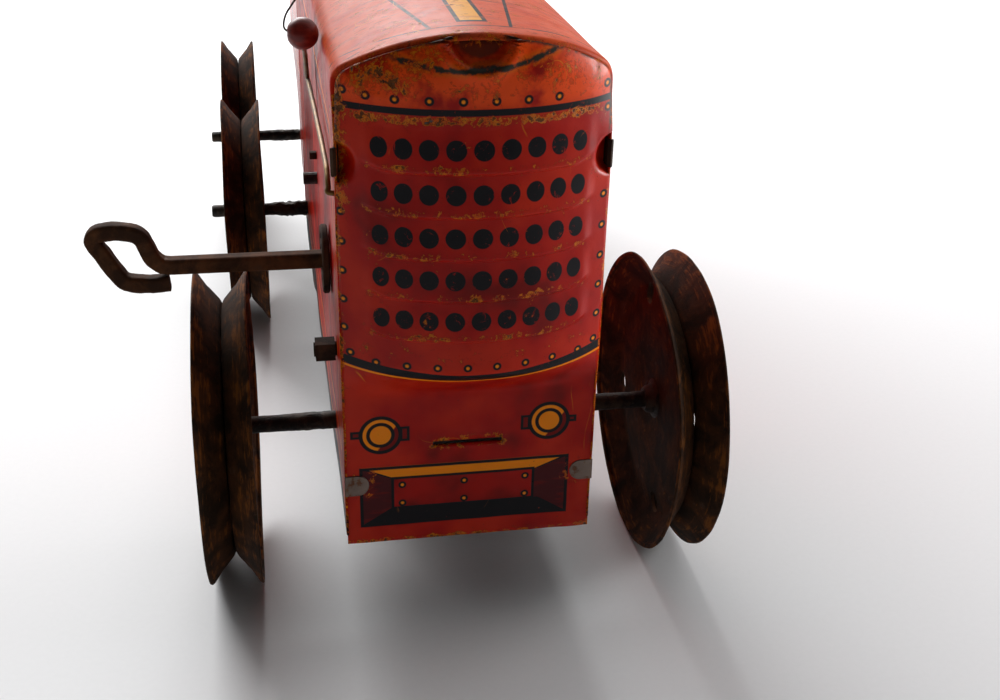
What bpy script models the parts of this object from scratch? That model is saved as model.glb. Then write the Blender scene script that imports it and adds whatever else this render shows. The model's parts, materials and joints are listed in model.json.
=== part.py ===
"""Tin clockwork locomotive: a folded tin hood and cab on six V-grooved wheels.

The toy faces -Y and stands on Z = 0.  Every outline below is measured from the
front axle's line (Y = 0) and the body's middle (X = 0); one parent empty then
moves the whole toy so that the origin is under the middle of its box.
"""
import math

import bmesh
import bpy
from mathutils import Vector
from mathutils.geometry import tessellate_polygon

MM = 0.001

# Sheet metal and running gaps.
TIN = 0.6 * MM
GAP = 0.3 * MM
RUNNING = 0.05 * MM

# Wheels and axles.
WHEEL_R = 35.0 * MM
RIM_HALF = 5.7 * MM
GROOVE_R = 28.4 * MM
AXLE_R = 2.0 * MM
AXLES_Y = {"front": 0.0, "middle": 140.1 * MM, "rear": 220.9 * MM}
TRACK_HALF = {"front": 49.45 * MM, "middle": 45.4 * MM, "rear": 46.5 * MM}
AXLE_STUB = {"front": 0.5 * MM, "middle": 5.0 * MM, "rear": 5.6 * MM}
HUB_R = 4.6 * MM
WHEEL_SEGMENTS = 32

# Body: a straight-sided hood with an arched top.
BODY_HALF = 26.05 * MM
FRONT_Y = -30.9 * MM
CROWN = 9.0 * MM
APRON_LOW = 22.3 * MM
SHELF_LOW = 56.0 * MM
SHELF_HIGH = 66.0 * MM
SIDE_LOW = 19.5 * MM
SIDE_TOP = 119.0 * MM
SHOULDER_R = 5.0 * MM
HOOD_TOP = 130.0 * MM
HOOD_BACK = 158.0 * MM
SLOT_X = -0.85 * MM
SLOT_Z = 46.0 * MM
SLOT_HALF = 6.8 * MM

# Cab and the frame under it.
CAB_BACK = 252.0 * MM
CAB_TOP = 150.0 * MM
CAB_FLOOR_Z = 70.0 * MM
CAB_BACK_TOP = 104.0 * MM
ROOF_RISE = 7.0 * MM
ROOF_OVERHANG = 2.5 * MM
WINDOW_Y = (182.0 * MM, 228.0 * MM)
WINDOW_Z = (108.0 * MM, 140.0 * MM)
PORTHOLE = (14.0 * MM, 139.0 * MM)
PORTHOLE_R = 5.5 * MM
FRAME_HALF = 19.0 * MM
FRAME_Y = (128.0 * MM, 236.0 * MM)
FRAME_LOW = 28.0 * MM
FRAME_HIGH = 62.0 * MM
DRAWBAR_END = 264.0 * MM
DRAWBAR_THICK = 1.0 * MM

# Spring motor between two plates.
PLATE_X = 16.0 * MM
PLATE_THICK = 0.8 * MM
ARBOR = Vector((0.0, -3.0 * MM, 75.5 * MM))
CROSS_ROD = Vector((0.0, -18.5 * MM, 62.0 * MM))
UPPER_PILLAR = Vector((0.0, 51.0 * MM, 75.0 * MM))
LOWER_PILLAR = Vector((0.0, 45.0 * MM, 36.0 * MM))
PILLAR_R = 1.5 * MM
NUT_R = 2.6 * MM
NUT_END = 4.3 * MM
THIN_R = 1.2 * MM
PIVOT_END = PLATE_X + PLATE_THICK / 2 + 0.6 * MM
MODULE = 0.8 * MM
WHEEL_TEETH = 40
PINION_TEETH = 12
GOVERNOR_TEETH = 10
RATCHET_TEETH = 12
RATCHET_R = 8.5 * MM
GEAR_THICK = 1.2 * MM
PINION_THICK = 3.0 * MM
GREAT_X = -12.6 * MM
SECOND_X = 8.0 * MM
FLY_X = (-6.0 * MM, 0.0)
SPRING_X = (-7.5 * MM, 4.5 * MM)
SPRING_R = (4.2 * MM, 15.0 * MM)
SPRING_TURNS = 6
SPRING_THICK = 0.35 * MM

# Winding key: a square bar with its end bent round into a loop.
KEY_HALF = 1.6 * MM
KEY_TIP = -74.9 * MM
KEY_BOW = -58.4 * MM
COLLAR_R = 7.3 * MM
COLLAR_THICK = 1.4 * MM
COLLAR_BORE = 3.2 * MM
ARBOR_LEFT = -22.0 * MM

# Lever: a wire with a wooden ball.
LEVER_R = 0.55 * MM
LEVER_PIVOT = Vector((0.0, -28.0 * MM, 97.5 * MM))
LEVER_X = -26.95 * MM
LEVER_BACK = Vector((-27.6 * MM, 34.0 * MM, 103.4 * MM))
LEVER_SLOT = (31.0 * MM, 33.0 * MM, 90.0 * MM, 110.0 * MM)
BALL_R = 3.25 * MM
BALL = Vector((-29.4 * MM, 4.0 * MM, 121.0 * MM))

# The box's middle, which becomes the origin.
FRONT_MOST = FRONT_Y - CROWN
RIGHT_MOST = TRACK_HALF["rear"] + RIM_HALF + AXLE_STUB["rear"]
MIDDLE = Vector(((RIGHT_MOST + KEY_TIP) / 2, (DRAWBAR_END + FRONT_MOST) / 2, 0.0))

COLOURS = {
    "red_tin": ((0.50, 0.035, 0.015), 0.35, 0.3),
    "rusty_steel": ((0.10, 0.045, 0.022), 0.75, 0.6),
    "black_iron": ((0.035, 0.028, 0.022), 0.7, 0.6),
    "grey_steel": ((0.30, 0.28, 0.25), 0.45, 0.9),
    "brass": ((0.60, 0.42, 0.17), 0.4, 1.0),
    "spring_steel": ((0.12, 0.12, 0.14), 0.35, 1.0),
    "red_wood": ((0.22, 0.02, 0.012), 0.55, 0.0),
}


def clear_scene():
    """Remove whatever the scene holds."""
    for thing in list(bpy.data.objects):
        bpy.data.objects.remove(thing, do_unlink=True)


def make_materials():
    """One Principled material for each finish."""
    for name, (colour, roughness, metallic) in COLOURS.items():
        material = bpy.data.materials.new(name)
        material.use_nodes = True
        shader = material.node_tree.nodes["Principled BSDF"]
        shader.inputs["Base Color"].default_value = (*colour, 1.0)
        shader.inputs["Roughness"].default_value = roughness
        shader.inputs["Metallic"].default_value = metallic
        material.diffuse_color = (*colour, 1.0)


def make_object(name, bm, finish, origin=(0.0, 0.0, 0.0)):
    """Turn a bmesh in toy coordinates into a named object with its origin at `origin`."""
    bmesh.ops.recalc_face_normals(bm, faces=bm.faces)
    bmesh.ops.translate(bm, vec=-Vector(origin), verts=bm.verts)
    mesh = bpy.data.meshes.new(name)
    bm.to_mesh(mesh)
    bm.free()
    mesh.shade_smooth()
    mesh.set_sharp_from_angle(angle=math.radians(35))
    mesh.materials.append(bpy.data.materials[finish])
    thing = bpy.data.objects.new(name, mesh)
    thing.location = origin
    thing.parent = bpy.data.objects["toy"]
    bpy.context.collection.objects.link(thing)
    return thing


def place(axis, along, u, v):
    """A point at `along` on the named axis and (u, v) on the two others, in X, Y, Z order."""
    if axis == "X":
        return Vector((along, u, v))
    if axis == "Y":
        return Vector((u, along, v))
    return Vector((u, v, along))


def add_prism(bm, axis, low, high, outline, holes=()):
    """A plate with the given outline and holes between two planes across an axis."""
    loops = [list(outline)] + [list(hole) for hole in holes]
    flat = [[Vector((u, v, 0.0)) for u, v in loop] for loop in loops]
    sides = []
    for along in (low, high):
        sides.append([bm.verts.new(place(axis, along, u, v)) for loop in loops for u, v in loop])
    for triangle in tessellate_polygon(flat):
        bm.faces.new([sides[0][i] for i in triangle])
        bm.faces.new([sides[1][i] for i in reversed(triangle)])
    start = 0
    for loop in loops:
        count = len(loop)
        for i in range(count):
            a = start + i
            b = start + (i + 1) % count
            bm.faces.new((sides[0][a], sides[0][b], sides[1][b], sides[1][a]))
        start += count


def prism(axis, low, high, outline, holes=()):
    """A new bmesh that holds one plate."""
    bm = bmesh.new()
    add_prism(bm, axis, low, high, outline, holes)
    return bm


def circle(radius, centre=(0.0, 0.0), count=16, turn=0.0):
    """Points round a circle."""
    points = []
    for i in range(count):
        angle = turn + 2 * math.pi * i / count
        points.append((centre[0] + radius * math.cos(angle), centre[1] + radius * math.sin(angle)))
    return points


def rectangle(u0, v0, u1, v1):
    """The four corners of a rectangle."""
    return [(u0, v0), (u1, v0), (u1, v1), (u0, v1)]


def turned(profile, centre, segments, flat_down=True):
    """Turn a closed (x, radius) profile about the X line through `centre`.

    The radii are measured to the flats, and one flat faces straight down.
    """
    bm = bmesh.new()
    stretch = 1.0 / math.cos(math.pi / segments) if flat_down else 1.0
    offset = math.pi / segments if flat_down else 0.0
    rings = []
    for i in range(segments):
        angle = -math.pi / 2 + offset + 2 * math.pi * i / segments
        ring = []
        for x, radius in profile:
            reach = radius * stretch
            place_at = (centre.x + x, centre.y + reach * math.cos(angle), centre.z + reach * math.sin(angle))
            ring.append(bm.verts.new(place_at))
        rings.append(ring)
    count = len(profile)
    for i in range(segments):
        here = rings[i]
        there = rings[(i + 1) % segments]
        for j in range(count):
            k = (j + 1) % count
            bm.faces.new((here[j], here[k], there[k], there[j]))
    return bm


def add_rod(bm, radius, x0, x1, centre, sides=14):
    """A solid rod along X."""
    add_prism(bm, "X", x0, x1, circle(radius, (centre.y, centre.z), sides))


def rod(radius, x0, x1, centre, sides=14):
    """A new bmesh that holds one rod along X."""
    bm = bmesh.new()
    add_rod(bm, radius, x0, x1, centre, sides)
    return bm


def washer(radius, bore, x0, x1, centre, sides=20):
    """A flat ring across X."""
    middle = (centre.y, centre.z)
    return prism("X", x0, x1, circle(radius, middle, sides), [circle(bore, middle, sides)])


def swept(path, half, sides=4, twist=math.pi / 4, first_up=(0.0, 1.0, 0.0)):
    """A bar of constant section along a path, capped at both ends."""
    bm = bmesh.new()
    points = [Vector(p) for p in path]
    up = Vector(first_up)
    rings = []
    for i, point in enumerate(points):
        before = points[max(i - 1, 0)]
        after = points[min(i + 1, len(points) - 1)]
        forward = (after - before).normalized()
        side = forward.cross(up).normalized()
        up = side.cross(forward).normalized()
        ring = []
        for j in range(sides):
            angle = twist + 2 * math.pi * j / sides
            reach = half / math.cos(math.pi / sides)
            ring.append(bm.verts.new(point + side * reach * math.cos(angle) + up * reach * math.sin(angle)))
        rings.append(ring)
    for here, there in zip(rings, rings[1:]):
        for j in range(sides):
            k = (j + 1) % sides
            bm.faces.new((here[j], here[k], there[k], there[j]))
    bm.faces.new(list(reversed(rings[0])))
    bm.faces.new(rings[-1])
    return bm


def smooth_path(corners, steps):
    """Points along a Catmull-Rom curve through the corners."""
    points = [Vector(c) for c in corners]
    padded = [2 * points[0] - points[1]] + points + [2 * points[-1] - points[-2]]
    curve = []
    for i in range(1, len(padded) - 2):
        p0, p1, p2, p3 = padded[i - 1:i + 3]
        for s in range(steps):
            t = s / steps
            curve.append(0.5 * (2 * p1 + (p2 - p0) * t + (2 * p0 - 5 * p1 + 4 * p2 - p3) * t * t
                                + (3 * p1 - 3 * p2 + p3 - p0) * t * t * t))
    curve.append(points[-1])
    return curve


def cut(target, bm, name):
    """Subtract a closed shape from an object."""
    cutter = make_object(name, bm, "black_iron")
    cutter.hide_render = True
    cutter.display_type = "WIRE"
    modifier = target.modifiers.new(name, "BOOLEAN")
    modifier.operation = "DIFFERENCE"
    modifier.solver = "EXACT"
    modifier.object = cutter


# ---------------------------------------------------------------- body shells

def arch_radius():
    """The big top arc's radius: it meets the shoulder arcs without a corner."""
    run = BODY_HALF - SHOULDER_R
    rise = HOOD_TOP - SIDE_TOP - SHOULDER_R
    drop = (run * run - rise * rise) / (2 * rise)
    return drop + rise + SHOULDER_R, math.atan2(run, drop)


def arch_outline(low, inset=0.0):
    """Half-round hood section, from the left side's foot over the top to the right side's foot."""
    big, lean = arch_radius()
    points = [(-BODY_HALF + inset, low)]
    for i in range(5):
        angle = math.pi - (math.pi / 2 - lean) * i / 4
        x = -BODY_HALF + SHOULDER_R + (SHOULDER_R - inset) * math.cos(angle)
        points.append((x, SIDE_TOP + (SHOULDER_R - inset) * math.sin(angle)))
    for i in range(1, 6):
        angle = math.pi / 2 + lean * (1 - i / 5)
        points.append(((big - inset) * math.cos(angle), HOOD_TOP - big + (big - inset) * math.sin(angle)))
    return points + [(-x, z) for x, z in reversed(points[:-1])]


def half_width(z):
    """Half the hood's width at a height."""
    big, lean = arch_radius()
    if z <= SIDE_TOP:
        return BODY_HALF
    if z <= SIDE_TOP + SHOULDER_R * math.cos(lean):
        return BODY_HALF - SHOULDER_R + math.sqrt(SHOULDER_R ** 2 - (z - SIDE_TOP) ** 2)
    return math.sqrt(max(big ** 2 - (z - HOOD_TOP + big) ** 2, 0.0))


def crown(x, z):
    """How far the grille bulges forward of the flat apron."""
    t = min(max((z - SHELF_LOW) / (SHELF_HIGH - SHELF_LOW), 0.0), 1.0)
    return CROWN * (1 - (x / BODY_HALF) ** 2) * t * t * (3 - 2 * t)


def front_panel():
    """Crowned grille over a flat apron, one pressed sheet."""
    heights = [APRON_LOW, 40 * MM, SHELF_LOW, 58.5 * MM, 61 * MM, 63.5 * MM, SHELF_HIGH, 90 * MM, SIDE_TOP]
    heights += [120.8 * MM, 122.4 * MM, 124 * MM, 126 * MM, 128 * MM, 129.3 * MM, 129.9 * MM]
    columns = 10
    bm = bmesh.new()
    skins = []
    for depth in (0.0, TIN):
        rows = []
        for z in heights:
            row = []
            for i in range(columns + 1):
                x = half_width(z) * (2 * i / columns - 1)
                row.append(bm.verts.new((x, FRONT_Y - crown(x, z) + depth, z)))
            rows.append(row)
        skins.append(rows)
    for rows in skins:
        for low, high in zip(rows, rows[1:]):
            for i in range(columns):
                bm.faces.new((low[i], low[i + 1], high[i + 1], high[i]))
    rims = []
    for rows in skins:
        left = [row[0] for row in rows[1:-1]]
        right = [row[-1] for row in rows[1:-1]]
        rims.append(rows[0] + right + list(reversed(rows[-1])) + list(reversed(left)))
    count = len(rims[0])
    for i in range(count):
        k = (i + 1) % count
        bm.faces.new((rims[0][i], rims[0][k], rims[1][k], rims[1][i]))
    panel = make_object("front_panel", bm, "red_tin")
    slot = prism("Y", FRONT_Y - 5 * MM, FRONT_Y + 5 * MM,
                 rectangle(SLOT_X - SLOT_HALF, SLOT_Z - 0.65 * MM, SLOT_X + SLOT_HALF, SLOT_Z + 0.65 * MM))
    cut(panel, slot, "slot_cutter")


def sill_cutter():
    """What lies below the side panels' lower edge: low at the middle axle, stepped up behind it."""
    edge = [(-60, 24.5), (96, 24.5), (108, 21), (116, 19.6), (146, 19.6), (156, 21.5), (161, 28)]
    edge += [(162, 36), (180, 37), (185, 41), (188, 50), (193, 57), (204, 60.5), (224, 63.5), (300, 66)]
    outline = [(y * MM, z * MM) for y, z in edge]
    outline += [(300 * MM, 5 * MM), (-60 * MM, 5 * MM)]
    return prism("X", -BODY_HALF - 10 * MM, BODY_HALF + 10 * MM, outline)


def hood_shell():
    """Sides and top folded from one sheet, open below."""
    outline = arch_outline(SIDE_LOW) + list(reversed(arch_outline(SIDE_LOW, TIN)))
    bm = prism("Y", FRONT_Y, HOOD_BACK, outline)
    for vert in bm.verts:
        if vert.co.y < FRONT_Y + GAP:
            vert.co.y = FRONT_Y - crown(vert.co.x, vert.co.z) + TIN + GAP
    hood = make_object("hood_shell", bm, "red_tin")
    cut(hood, sill_cutter(), "hood_sill_cutter")
    across = (-BODY_HALF - 10 * MM, BODY_HALF + 10 * MM)
    left_only = (-BODY_HALF - 10 * MM, -BODY_HALF + 5 * MM)
    holes = {
        "front_axle_hole": (AXLE_R + RUNNING, across, Vector((0, AXLES_Y["front"], WHEEL_R))),
        "middle_axle_hole": (AXLE_R + RUNNING, across, Vector((0, AXLES_Y["middle"], WHEEL_R))),
        "arbor_hole": (COLLAR_BORE, left_only, ARBOR),
        "cross_rod_hole": (PILLAR_R + RUNNING, across, CROSS_ROD),
        "pillar_hole": (PILLAR_R + RUNNING, left_only, UPPER_PILLAR),
        "lever_hole": (LEVER_R + 0.2 * MM, left_only, LEVER_PIVOT),
    }
    for name, (radius, (x0, x1), centre) in holes.items():
        cut(hood, rod(radius, x0, x1, centre, 16), name)
    y0, y1, z0, z1 = LEVER_SLOT
    cut(hood, prism("X", *left_only, rectangle(y0, z0, y1, z1)), "lever_slot")


def cab():
    """Cab walls, floor, back panel and arched roof."""
    front = HOOD_BACK + GAP
    inner = BODY_HALF - TIN
    plan = [(-BODY_HALF, CAB_BACK), (-BODY_HALF, front), (BODY_HALF, front), (BODY_HALF, CAB_BACK)]
    plan += [(inner, CAB_BACK), (inner, front + TIN), (-inner, front + TIN), (-inner, CAB_BACK)]
    walls = make_object("cab_shell", prism("Z", SIDE_LOW, CAB_TOP, plan), "red_tin")
    cut(walls, sill_cutter(), "cab_sill_cutter")
    doorway = rectangle(-inner, front - 5 * MM, inner, front + 5 * MM)
    cut(walls, prism("Z", 0.0, FRAME_HIGH + 1 * MM, doorway), "frame_clearance_cutter")
    window = rectangle(WINDOW_Y[0], WINDOW_Z[0], WINDOW_Y[1], WINDOW_Z[1])
    cut(walls, prism("X", -BODY_HALF - 10 * MM, BODY_HALF + 10 * MM, window), "side_window_cutter")
    for side in (-1, 1):
        porthole = circle(PORTHOLE_R, (side * PORTHOLE[0], PORTHOLE[1]), 20)
        cut(walls, prism("Y", front - 5 * MM, front + 5 * MM, porthole), "porthole_cutter")

    reach = inner - GAP
    floor = rectangle(-reach, front + TIN + GAP, reach, CAB_BACK)
    make_object("cab_floor", prism("Z", CAB_FLOOR_Z, CAB_FLOOR_Z + TIN, floor), "black_iron")

    back = rectangle(-BODY_HALF, 64 * MM, BODY_HALF, CAB_BACK_TOP)
    make_object("cab_back_panel", prism("Y", CAB_BACK + GAP, CAB_BACK + GAP + TIN, back), "red_tin")

    half = BODY_HALF + ROOF_OVERHANG
    radius = (half * half + ROOF_RISE * ROOF_RISE) / (2 * ROOF_RISE)
    spread = math.asin(half / radius)
    arcs = []
    for thick in (0.0, TIN):
        arc = []
        for i in range(13):
            angle = spread * (1 - 2 * i / 12)
            z = CAB_TOP + GAP + ROOF_RISE - radius + (radius + thick) * math.cos(angle)
            arc.append(((radius + thick) * math.sin(angle), z))
        arcs.append(arc)
    roof = arcs[0] + list(reversed(arcs[1]))
    roof_front = front - ROOF_OVERHANG
    roof_back = CAB_BACK + GAP + TIN + ROOF_OVERHANG
    make_object("cab_roof", prism("Y", roof_front, roof_back, roof), "red_tin")


def rear_frame():
    """U-channel under the cab that carries the middle and rear axles, and the drawbar."""
    outer = FRAME_HALF
    low = FRAME_LOW
    high = FRAME_HIGH
    section = [(-outer, low), (-outer, high), (outer, high), (outer, low)]
    section += [(outer - PLATE_THICK, low), (outer - PLATE_THICK, high - PLATE_THICK)]
    section += [(-outer + PLATE_THICK, high - PLATE_THICK), (-outer + PLATE_THICK, low)]
    channel = make_object("rear_frame", prism("Y", *FRAME_Y, section), "grey_steel")
    for axle in ("middle", "rear"):
        centre = Vector((0, AXLES_Y[axle], WHEEL_R))
        hole = rod(AXLE_R + RUNNING, -outer - 5 * MM, outer + 5 * MM, centre, 16)
        cut(channel, hole, axle + "_frame_hole")
    plate = [(-7, 206), (7, 206), (7, 254), (4.5, 262), (0, 264), (-4.5, 262), (-7, 254)]
    outline = [(x * MM, y * MM) for x, y in plate]
    hole = circle(1.8 * MM, (0.0, 257 * MM), 16)
    make_object("drawbar", prism("Z", high + GAP, high + GAP + DRAWBAR_THICK, outline, [hole]), "grey_steel")


# -------------------------------------------------------------- wheels, axles

def disc_profile(side):
    """One stamped disc of a wheel: flat web, dished out to the rim with a small lip.

    The two discs of a wheel stand back to back, `side` = +1 or -1 along X.
    """
    thick = TIN
    web = 0.15 * MM
    lip = RIM_HALF
    points = [
        (web, AXLE_R + 2 * RUNNING + 0.9 * MM),
        (web, GROOVE_R),
        (lip - thick, WHEEL_R),
        (lip, WHEEL_R - 1.0 * MM),
        (web + thick, GROOVE_R - 1.6 * MM),
        (web + thick, AXLE_R + 2 * RUNNING + 0.9 * MM),
    ]
    return [(side * x, r) for x, r in points]


def wheel_set(place_name):
    """An axle with two wheels: two discs and a hub bush each."""
    y = AXLES_Y[place_name]
    track_half = TRACK_HALF[place_name]
    centre = Vector((0.0, y, WHEEL_R))
    end = track_half + RIM_HALF + AXLE_STUB[place_name]
    make_object(place_name + "_axle", rod(AXLE_R, -end, end, centre, 16), "black_iron", centre)
    for side, side_name in ((-1, "left"), (1, "right")):
        name = place_name + "_" + side_name
        middle = Vector((side * track_half, y, WHEEL_R))
        for out, disc_name in ((side, "outer"), (-side, "inner")):
            disc = turned(disc_profile(out), middle, WHEEL_SEGMENTS)
            make_object(name + "_disc_" + disc_name, disc, "rusty_steel", centre)
        bore = AXLE_R + RUNNING
        hub = turned(hub_profile(bore), middle, 16, flat_down=False)
        make_object(name + "_hub", hub, "black_iron", centre)


def hub_profile(bore):
    """Flanged bush that clamps both discs: a sleeve through them and a flange on each face."""
    sleeve = AXLE_R + 2 * RUNNING + 0.9 * MM - 0.1 * MM
    face = 0.15 * MM + TIN + 0.1 * MM
    end = 3.2 * MM
    return [(-end, bore), (end, bore), (end, 3.1 * MM), (face, HUB_R), (face, sleeve),
            (-face, sleeve), (-face, HUB_R), (-end, 3.1 * MM)]


# --------------------------------------------------------------- spring motor

def gear_outline(teeth, module, centre, turn):
    """Spur gear outline with involute-like flanks, a tooth tip at angle `turn`."""
    pitch = module * teeth / 2
    tip = pitch + 0.85 * module
    root = pitch - 1.1 * module
    step = 2 * math.pi / teeth
    shares = [(root, 0.29), (pitch, 0.215), (tip, 0.11)]
    points = []
    for i in range(teeth):
        middle = turn + step * i
        for radius, share in shares:
            angle = middle - step * share
            points.append((centre.y + radius * math.cos(angle), centre.z + radius * math.sin(angle)))
        for radius, share in reversed(shares):
            angle = middle + step * share
            points.append((centre.y + radius * math.cos(angle), centre.z + radius * math.sin(angle)))
    return points


def gear(name, teeth, centre, x, thick, turn, bore, finish="brass"):
    """A spur gear across X."""
    outline = gear_outline(teeth, MODULE, centre, turn)
    hole = circle(bore, (centre.y, centre.z), 16)
    make_object(name, prism("X", x - thick / 2, x + thick / 2, outline, [hole]), finish, centre)


def mesh_turn(teeth, other_turn, other_teeth, line):
    """The turn that puts a tooth gap where the other gear has a tooth, on the line of centres.

    `line` is the direction from the other gear's centre to this one's.
    """
    other_step = 2 * math.pi / other_teeth
    step = 2 * math.pi / teeth
    phase = ((line - other_turn) / other_step) % 1.0
    return line + math.pi + step * (0.5 + phase)


def second_arbor_centre():
    """Where the second arbor meshes with both the spring arbor's wheel and the axle pinion."""
    reach = MODULE * (WHEEL_TEETH + PINION_TEETH) / 2
    axle = Vector((0.0, AXLES_Y["front"], WHEEL_R))
    half = (ARBOR - axle) / 2
    side = Vector((0.0, half.z, -half.y)).normalized()
    return axle + half + side * math.sqrt(reach * reach - half.length_squared)


def angle_of(line):
    """The angle of a direction across X."""
    return math.atan2(line.z, line.y)


def motor_train():
    """Great wheel, ratchet, second arbor, axle pinion and the governor with its fly."""
    axle = Vector((0.0, AXLES_Y["front"], WHEEL_R))
    second = second_arbor_centre()
    governor = second + Vector((0.0, 1.0, 0.0)) * MODULE * (WHEEL_TEETH + GOVERNOR_TEETH) / 2

    gear("front_axle_pinion", PINION_TEETH, axle, SECOND_X, PINION_THICK, 0.0, AXLE_R + RUNNING)
    turn = mesh_turn(WHEEL_TEETH, 0.0, PINION_TEETH, angle_of(second - axle))
    gear("second_wheel", WHEEL_TEETH, second, SECOND_X, GEAR_THICK, turn, THIN_R + RUNNING)
    gear("second_pinion", PINION_TEETH, second, GREAT_X, PINION_THICK, 0.0, THIN_R + RUNNING)
    make_object("second_arbor", rod(THIN_R, -PIVOT_END, PIVOT_END, second, 12), "grey_steel", second)
    great_turn = mesh_turn(WHEEL_TEETH, 0.0, PINION_TEETH, angle_of(ARBOR - second))
    gear("great_wheel", WHEEL_TEETH, ARBOR, GREAT_X, GEAR_THICK, great_turn, AXLE_R + RUNNING)
    governor_turn = mesh_turn(GOVERNOR_TEETH, turn, WHEEL_TEETH, angle_of(governor - second))
    gear("governor_pinion", GOVERNOR_TEETH, governor, SECOND_X, PINION_THICK, governor_turn, THIN_R + RUNNING)
    make_object("governor_arbor", rod(THIN_R, -PIVOT_END, PIVOT_END, governor, 12), "grey_steel", governor)
    fly = [(-1.9, -8), (1.9, -8), (1.9, 8), (-1.9, 8)]
    outline = [(governor.y + u * MM, governor.z + v * MM) for u, v in fly]
    hole = circle(THIN_R + RUNNING, (governor.y, governor.z), 12)
    make_object("governor_fly", prism("X", *FLY_X, outline, [hole]), "grey_steel", governor)
    return second, governor


def ratchet():
    """Twelve-tooth ratchet wheel on the arbor, with its click and click spring on the great wheel."""
    x0 = GREAT_X + GEAR_THICK / 2 + GAP
    x1 = x0 + GEAR_THICK
    outline = []
    for i in range(RATCHET_TEETH):
        angle = 2 * math.pi * i / RATCHET_TEETH
        steep = angle + 0.04
        outline.append((ARBOR.y + RATCHET_R * math.cos(angle), ARBOR.z + RATCHET_R * math.sin(angle)))
        low = 0.76 * RATCHET_R
        outline.append((ARBOR.y + low * math.cos(steep), ARBOR.z + low * math.sin(steep)))
    hole = circle(AXLE_R + RUNNING, (ARBOR.y, ARBOR.z), 14)
    make_object("ratchet_wheel", prism("X", x0, x1, outline, [hole]), "grey_steel", ARBOR)

    pivot = ARBOR + Vector((0.0, -3.0 * MM, 13.0 * MM))
    tip_angle = 2 * math.pi * 2 / RATCHET_TEETH + 0.11
    tip = ARBOR + Vector((0.0, math.cos(tip_angle), math.sin(tip_angle))) * (0.76 * RATCHET_R + 0.65 * MM)
    reach = tip - pivot
    side = Vector((0.0, -reach.z, reach.y)).normalized()
    arm = []
    for point, half in ((pivot - reach * 0.22, 1.0), (pivot, 1.3), (pivot + reach * 0.6, 0.55), (tip, 0.22)):
        arm.append((point + side * half * MM, point - side * half * MM))
    outline = [(a.y, a.z) for a, b in arm] + [(b.y, b.z) for a, b in reversed(arm)]
    hole = circle(0.6 * MM, (pivot.y, pivot.z), 10)
    make_object("click", prism("X", x0, x1, outline, [hole]), "grey_steel", pivot)
    make_object("click_rivet", rod(0.5 * MM, x0 - GAP / 2, x1 + 0.3 * MM, pivot, 10), "brass", ARBOR)


def mainspring():
    """Flat steel strip wound in a spiral round the arbor, its outer end at the upper pillar side."""
    inner, outer = SPRING_R
    steps = 18 * SPRING_TURNS
    inside = []
    outside = []
    for i in range(steps + 1):
        angle = 2 * math.pi * SPRING_TURNS * i / steps
        radius = inner + (outer - inner) * i / steps
        inside.append((ARBOR.y + radius * math.cos(angle), ARBOR.z + radius * math.sin(angle)))
        radius += SPRING_THICK
        outside.append((ARBOR.y + radius * math.cos(angle), ARBOR.z + radius * math.sin(angle)))
    outline = inside + list(reversed(outside))
    make_object("mainspring", prism("X", *SPRING_X, outline), "spring_steel", ARBOR)


def motor_plates(second, governor):
    """Two steel plates, the cross rod with its nut, spacer and the two pillars."""
    outline = [(-24, 52), (-24, 30), (-14, 26.5), (50, 27.5), (57, 36), (57, 80), (50, 90), (24, 97), (-16, 97)]
    edge = [(y * MM, z * MM) for y, z in outline]
    running = RUNNING
    holes = [
        circle(AXLE_R + running, (AXLES_Y["front"], WHEEL_R), 16),
        circle(AXLE_R + running, (ARBOR.y, ARBOR.z), 16),
        circle(THIN_R + running, (second.y, second.z), 12),
        circle(THIN_R + running, (governor.y, governor.z), 12),
    ]
    for pillar in (CROSS_ROD, UPPER_PILLAR, LOWER_PILLAR):
        holes.append(circle(PILLAR_R + running, (pillar.y, pillar.z), 14))
    for side, side_name in ((-1, "left"), (1, "right")):
        x0 = side * PLATE_X - PLATE_THICK / 2
        plate = prism("X", x0, x0 + PLATE_THICK, edge, holes)
        make_object("motor_plate_" + side_name, plate, "grey_steel")

    inner = PLATE_X - PLATE_THICK / 2 - GAP
    outside = BODY_HALF + NUT_END + GAP
    make_object("cross_rod", rod(PILLAR_R, -outside, BODY_HALF + 2.0 * MM, CROSS_ROD, 14), "grey_steel")
    make_object("cross_rod_spacer", washer(2.6 * MM, PILLAR_R + running, -inner, inner, CROSS_ROD, 14), "grey_steel")
    square = circle(NUT_R, (CROSS_ROD.y, CROSS_ROD.z), 4, math.pi / 4)
    bore = circle(PILLAR_R + running, (CROSS_ROD.y, CROSS_ROD.z), 14)
    nut = prism("X", -BODY_HALF - NUT_END, -BODY_HALF - GAP, square, [bore])
    make_object("cross_rod_nut", nut, "black_iron")
    upper = rod(PILLAR_R, -BODY_HALF - 3.25 * MM, PLATE_X + 1.2 * MM, UPPER_PILLAR, 14)
    make_object("upper_pillar", upper, "black_iron")
    lower = rod(PILLAR_R, -PLATE_X - 1.2 * MM, PLATE_X + 1.2 * MM, LOWER_PILLAR, 14)
    make_object("lower_pillar", lower, "grey_steel")


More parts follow.
